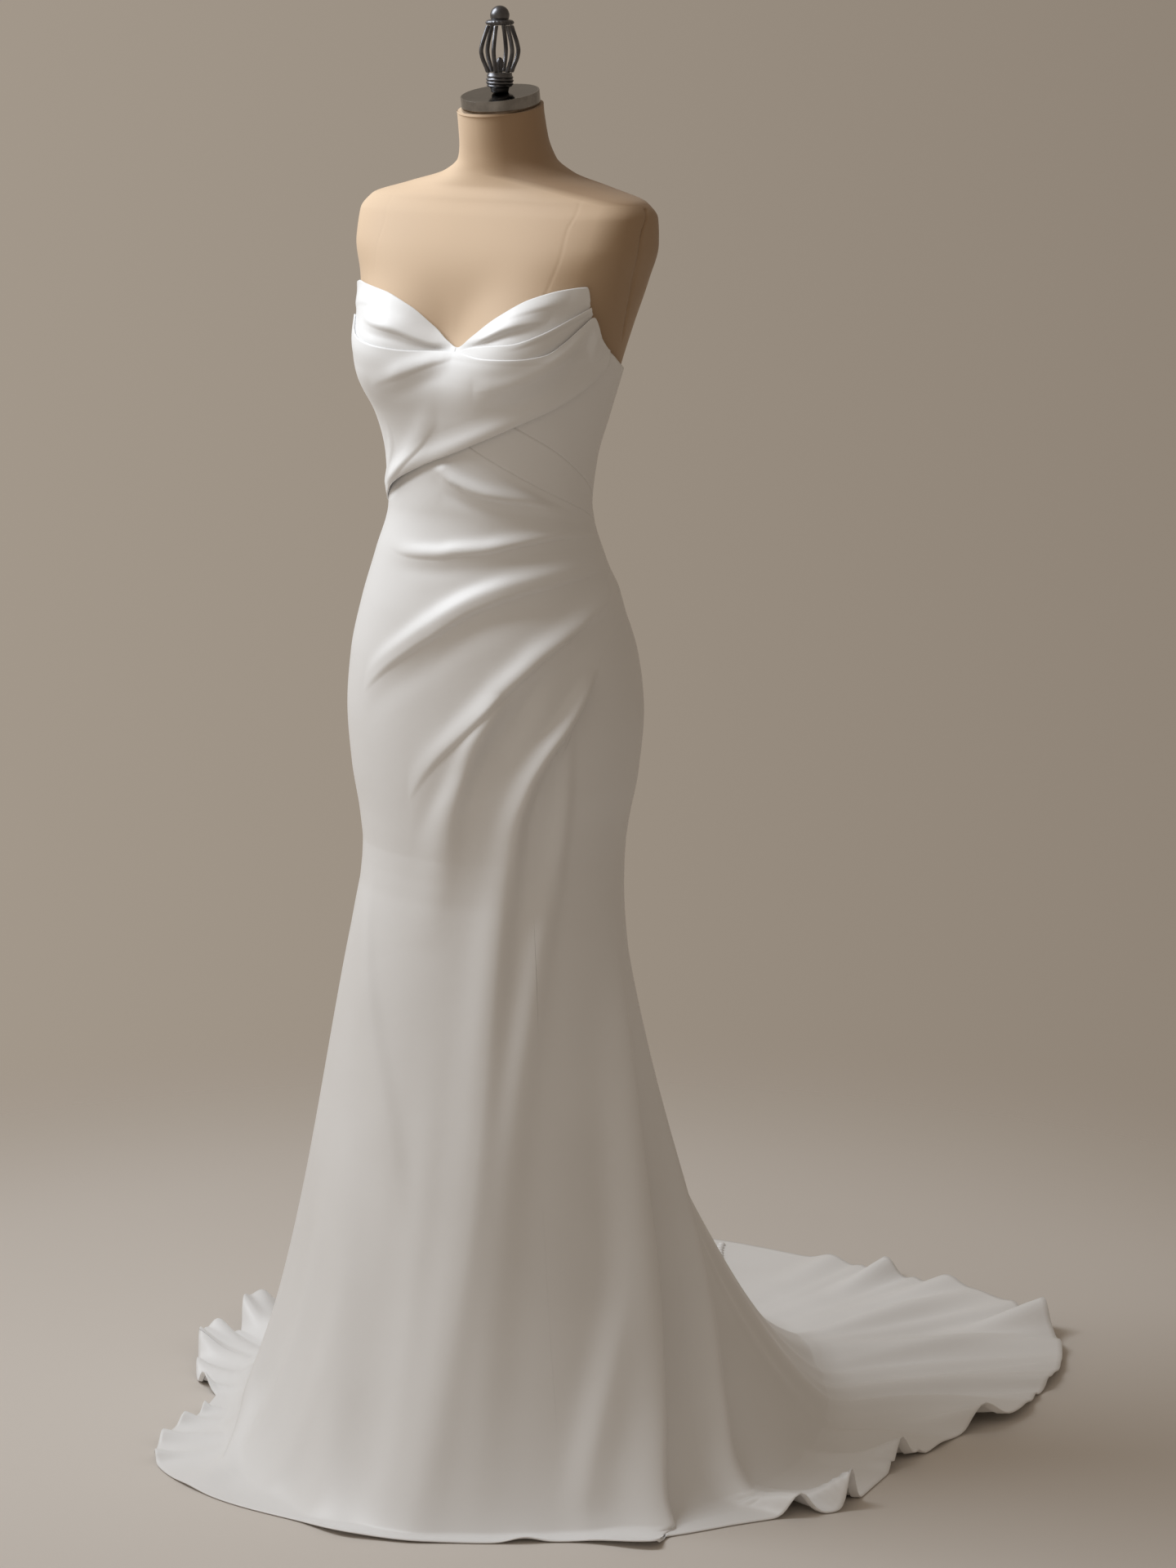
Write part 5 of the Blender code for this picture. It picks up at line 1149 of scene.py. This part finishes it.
# Seams of the form's cover on its left, which the right mirrors: the princess seams of the front and the back, the
# side seam and the front of the arm plate, as their depth and their angle against height.
coverSeams = [
    (0.0003, [(0.80, 30), (1.10, 27), (1.28, 34), (1.356, 37), (1.417, 33), (1.446, 40), (1.460, 58), (1.470, 90)]),
    (0.0006, [(0.80, 150), (1.10, 155), (1.30, 148), (1.40, 140), (1.455, 132), (1.472, 118), (1.487, 104)]),
    (0.0006, [(0.80, 92), (1.10, 92), (1.28, 92)]),
    (0.0026, [(1.297, 99), (1.344, 92), (1.387, 88.5), (1.417, 86), (1.441, 90)]),
]


def makeForm():
    neckTop = capShape["top"] - capShape["thick"] / math.cos(capShape["tilt"]) - seamGap
    tops = [top or neckTop for top, step in formValues["rows"]]
    starts = [formValues["low"]] + tops[:-1]
    heights = np.array(spread(*zip(starts, tops, (step for top, step in formValues["rows"]))))
    angles = np.arange(formValues["columns"]) * 360 / formValues["columns"] - 180
    grid, levels = np.broadcast_arrays(angles, heights[:, None])
    cupsStart, cupsEnd = formValues["cupHeights"]
    underCups = blend(levels, *cupsStart) * (1 - blend(levels, *cupsEnd))
    underDress = formValues["dressClear"] * (1 - blend(levels, *formValues["dressHeights"]))
    groove = 0 * levels
    for depth, line in coverSeams:
        column = readTable("height angle", line)
        centre = smoothCurve(column["height"], column["angle"])(levels)
        reached = (levels >= column["height"][0]) & (levels <= column["height"][-1])
        for side in (1, -1):
            away = np.radians(apart(grid, side * centre)) * figureRadius
            groove = np.maximum(groove, np.where(reached, depth * bell(away, formValues["seamWidth"]), 0))
    ease = -formValues["cupClear"] * underCups - underDress - groove
    points = figurePoint(grid, levels, ease)
    points[-1, :, 2] += math.tan(capShape["tilt"]) * points[-1, :, 1]
    points[-2] = points[-2:].mean(0)
    index = np.arange(points.shape[0] * points.shape[1]).reshape(points.shape[:2])
    uv = threadCoordinates(points)
    made = buildMesh("formCover", points.reshape(-1, 3), tubeFaces(index), linen, uv.reshape(-1, 2), 50)
    place(made, "linen_cover", "form_torso")
    print("form made")


# Turned and wrought parts of the form: cap, finial, pole and foot
def latheMesh(name, profile, sides, material, slot, nodes, tilt=0.0, centre=(0, 0, 0), ripple=None, sharpAngle=35):
    radii = np.array([radius for radius, height in profile])[:, None]
    heights = np.array([height for radius, height in profile])[:, None]
    turns = np.arange(sides) * 2 * math.pi / sides
    if ripple is not None:
        radii = radii + ripple(turns[None, :], heights)
    x, y = radii * np.cos(turns), radii * np.sin(turns)
    z = heights + 0 * x
    points = np.stack([x, y * math.cos(tilt) - z * math.sin(tilt), y * math.sin(tilt) + z * math.cos(tilt)], -1)
    points = points + np.array(centre)
    index = np.arange(points.shape[0] * sides).reshape(-1, sides)
    made = buildMesh(name, points.reshape(-1, 3), tubeFaces(index), material, None, sharpAngle)
    return place(made, slot, *nodes)


capShape = dict(top=1.564, radius=0.0445, thick=0.0155, tilt=math.radians(11), bevel=0.0006, lip=0.0001)


def makeCap():
    r, thick, bevel = capShape["radius"], capShape["thick"], capShape["bevel"]
    top, tilt, lip = (0, 0, capShape["top"]), capShape["tilt"], capShape["lip"]
    profile = [(r - 0.010, -thick), (r - bevel, -thick), (r - 0.3 * bevel, -thick + 0.3 * bevel),
               (r, -thick + bevel), (r, -bevel), (r - 0.3 * bevel, -0.3 * bevel), (r - bevel, 0.0), (r - 0.0012, 0.0),
               (r - 0.0015, -lip), (r - 0.0060, -0.0008)]
    latheMesh("neckCap", profile, 96, brushedSteel, "brushed_cap_steel", ["neck_cap"], tilt, top)
    plate = [(r - 0.0016, -lip - 0.0010), (r - 0.0016, -lip), (r - 0.012, -lip), (0.004, -lip)]
    latheMesh("neckCapPlate", plate, 96, polishedSteel, "brushed_cap_steel", [], tilt, top)


finialShape = dict(top=0.096, ball=0.0108, crown=0.0158, crownThick=0.006, collar=0.0156, collarHeight=0.022,
                   bars=6, barTurn=45, barRadius=0.0024, beads=22)
cageLine = [(0.0, 0.0129), (0.16, 0.0164), (0.32, 0.0198), (0.46, 0.0211), (0.63, 0.0195), (0.79, 0.0168),
            (1.0, 0.0129)]    # share of the bars' height, and their distance from the axis


def makeFinial():
    base = capShape["top"]
    f = finialShape
    collarTop = base + f["collarHeight"]
    low, r = base + 0.0004, f["collar"]
    wound, strand, woundDepth = (0.0070, 0.0188), 0.0038, 0.0014    # the stretch wound with wire, above a plain neck
    rise = np.linspace(*wound, 25)
    collar = [(0.0088, low), (0.0098, low + 0.0010), (0.0102, low + 0.0032), (0.0108, low + 0.0056)]
    collar += [(r - 0.0010 * ((2 * height - sum(wound)) / (wound[1] - wound[0])) ** 2, low + height)
               for height in rise]
    collar += [(r - 0.0020, collarTop), (0.003, collarTop)]

    def rope(turns, heights):
        above, soft = heights - low, 0.001
        start, end = (blend(above, edge - soft, edge + soft) for edge in wound)
        return start * (1 - end) * woundDepth * (np.abs(np.sin(math.pi * above / strand + 0.5 * turns)) - 1)
    latheMesh("finialCollar", collar, 192, darkIron, "dark_iron", ["finial_collar"], ripple=rope, sharpAngle=60)

    ballCentre = base + f["top"] - f["ball"]
    crownTop = ballCentre - f["ball"] + 0.0061
    crownLow = crownTop - f["crownThick"]
    c = f["crown"]
    crown = [(0.004, crownLow), (c - 0.0030, crownLow), (c - 0.0010, crownLow + 0.0006),
             (c - 0.0002, crownLow + 0.0018), (c, crownLow + 0.0028), (c - 0.0003, crownLow + 0.0040),
             (c - 0.0016, crownLow + 0.0052), (c - 0.0040, crownTop), (0.006, crownTop)]

    def beading(turns, heights):
        middle = bell(heights - crownLow - 0.0028, 0.0018)
        return middle * 0.0008 * (np.abs(np.sin(0.5 * f["beads"] * turns + 350 * (heights - crownLow))) - 0.7)
    latheMesh("finialCrown", crown, 192, darkIron, "dark_iron", ["finial_crown"], ripple=beading, sharpAngle=60)

    tilts = np.linspace(math.asin((crownTop + seamGap - ballCentre) / f["ball"]), math.radians(88), 26)
    ball = [(f["ball"] * math.cos(t), ballCentre + f["ball"] * math.sin(t)) for t in tilts]
    latheMesh("finialBall", ball, 64, darkIron, "dark_iron", ["finial_ball"])
    stub = [(0.0026, collarTop + seamGap), (0.0034, collarTop + 0.0012), (0.0031, collarTop + 0.004),
            (0.0044, collarTop + 0.0075), (0.0046, collarTop + 0.011), (0.0038, collarTop + 0.014),
            (0.0020, collarTop + 0.0165), (0.0006, collarTop + 0.0172)]
    latheMesh("finialStub", stub, 32, darkIron, "dark_iron", ["finial_stub"])

    cage = readTable("share out", cageLine)
    outward = smoothCurve(cage["share"], cage["out"])
    for i in range(f["bars"]):
        turn = math.radians(360 * i / f["bars"] + f["barTurn"])
        shares = np.linspace(0, 1, 34)
        heights = collarTop + seamGap + shares * (crownLow - collarTop - 2 * seamGap)
        centres = np.stack([outward(shares) * math.cos(turn), outward(shares) * math.sin(turn), heights], -1)
        swell = f["barRadius"] * (1 + 0.10 * bell(shares - 0.04, 0.04) + 0.10 * bell(shares - 0.96, 0.04))
        points, faces, uvs = [], [], []
        sweepTube(centres, swell, 16, points, faces, uvs)
        points = np.array(points)
        points[:, 2] = np.clip(points[:, 2], collarTop + seamGap, crownLow - seamGap)
        bar = buildMesh("finialBar%d" % (i + 1), points, faces, darkIron, None, 50)
        place(bar, "dark_iron", "finial_bar_%d" % (i + 1))
    print("finial made")


standShape = dict(poleRadius=0.016, footRadius=0.190, footThick=0.012)


def makeStand():
    s = standShape
    r, thick = s["footRadius"], s["footThick"]
    foot = [(r - 0.002, 0.0), (r, 0.0016), (r, thick * 0.6), (r - 0.0015, thick * 0.82), (r - 0.006, thick),
            (r - 0.030, thick), (0.030, thick), (0.018, thick)]
    latheMesh("standFoot", foot, 128, darkIron, "dark_iron", ["stand_foot"])
    pole = [(s["poleRadius"] - 0.0005, thick + seamGap), (s["poleRadius"], thick + 0.001),
            (s["poleRadius"], formValues["low"] - 0.001), (s["poleRadius"] - 0.0005, formValues["low"] - seamGap)]
    latheMesh("standPole", pole, 48, brushedSteel, "brushed_cap_steel", ["stand_pole"])


makeForm()
makeCap()
makeFinial()
makeStand()
makeSkirt()
makeBodice()
makeButtons()


# The floor, the light and the camera
studioLeft, studioRight = (0.404, 0.348, 0.288), (0.249, 0.206, 0.163)
floorValues = dict(near=(0.665, 0.623, 0.580), poolIn=0.95, poolOut=1.85, size=60.0, height=-0.0006)


def makeFloor():  # a pale floor that runs out into the studio's own tone
    made, tree, shader = newMaterial("studio floor")
    where = addNode(tree, "ShaderNodeNewGeometry")
    length = addNode(tree, "ShaderNodeVectorMath", dict(operation="LENGTH"), {0: where.outputs["Position"]})
    speck = addNode(tree, "ShaderNodeTexNoise", inputs=dict(Scale=220.0, Detail=2.0)).outputs["Fac"]
    feed(shader, {"Base Color": (*floorValues["near"], 1.0), "Normal": bump(tree, speck, 0.0006, 0.15),
                  "Roughness": 0.75, "Specular IOR Level": 0.2})
    clear = addNode(tree, "ShaderNodeBsdfTransparent")
    fade = remap(tree, length.outputs["Value"], floorValues["poolIn"], floorValues["poolOut"], kind="SMOOTHSTEP")
    mix = addNode(tree, "ShaderNodeMixShader", inputs={0: fade, 1: shader.outputs[0], 2: clear.outputs[0]})
    feed(tree.nodes["Material Output"], dict(Surface=mix.outputs[0]))
    half = floorValues["size"] / 2
    corners = [(x, y, floorValues["height"]) for x, y in ((-half, -half), (half, -half), (half, half), (-half, half))]
    floor = buildMesh("studioFloor", corners, [[0, 1, 2, 3]], made)


cameraValues = dict(turn=34.0, distance=4.8, height=1.78, pitch=11.8219, lens=97.5, shift=108 / 1920)
lightValues = dict(right=-1.27, forward=0.15, height=2.55, size=(1.0, 1.3), power=37, colour=(0.90, 0.95, 1.0),
                   aim=(0.0, 0.0, 1.33))


def fromCamera(right, forward, height):  # a point given to the right of and beyond the object, as the camera sees it
    turn = math.radians(cameraValues["turn"])
    return Vector((right * math.cos(turn) - forward * math.sin(turn),
                   right * math.sin(turn) + forward * math.cos(turn), height))


def makeLight():
    v = lightValues
    lamp = bpy.data.lights.new("key", "AREA")
    lamp.shape = "RECTANGLE"
    lamp.size, lamp.size_y = v["size"]
    lamp.energy = v["power"]
    lamp.color = v["colour"]
    made = bpy.data.objects.new("key", lamp)
    made.location = fromCamera(v["right"], v["forward"], v["height"])
    made.rotation_euler = (Vector(v["aim"]) - made.location).to_track_quat("-Z", "Y").to_euler()
    bpy.context.scene.collection.objects.link(made)


def makeWorld():  # the studio is a little brighter on the side the light comes from
    world = bpy.data.worlds.new("studio")
    bpy.context.scene.world = world
    world.use_nodes = True
    tree = world.node_tree
    direction = addNode(tree, "ShaderNodeTexCoord")
    across = addNode(tree, "ShaderNodeVectorMath", dict(operation="DOT_PRODUCT"),
                     {0: direction.outputs["Generated"], 1: fromCamera(1, 0, 0)})
    side = remap(tree, across.outputs["Value"], -0.35, 0.35, kind="SMOOTHSTEP")
    feed(tree.nodes["Background"], dict(Color=ramp(tree, side, 0.0, 1.0, studioLeft, studioRight)))


def makeCamera():
    lens = bpy.data.cameras.new("camera")
    lens.lens = cameraValues["lens"]
    lens.sensor_width = 36
    lens.shift_x = cameraValues["shift"]
    made = bpy.data.objects.new("camera", lens)
    made.location = fromCamera(0, -cameraValues["distance"], cameraValues["height"])
    made.rotation_euler = (math.radians(90 - cameraValues["pitch"]), 0, math.radians(cameraValues["turn"]))
    bpy.context.scene.collection.objects.link(made)
    bpy.context.scene.camera = made


makeFloor()
makeLight()
makeWorld()
makeCamera()
bpy.context.scene.view_settings.view_transform = "Standard"
print("scene ready")
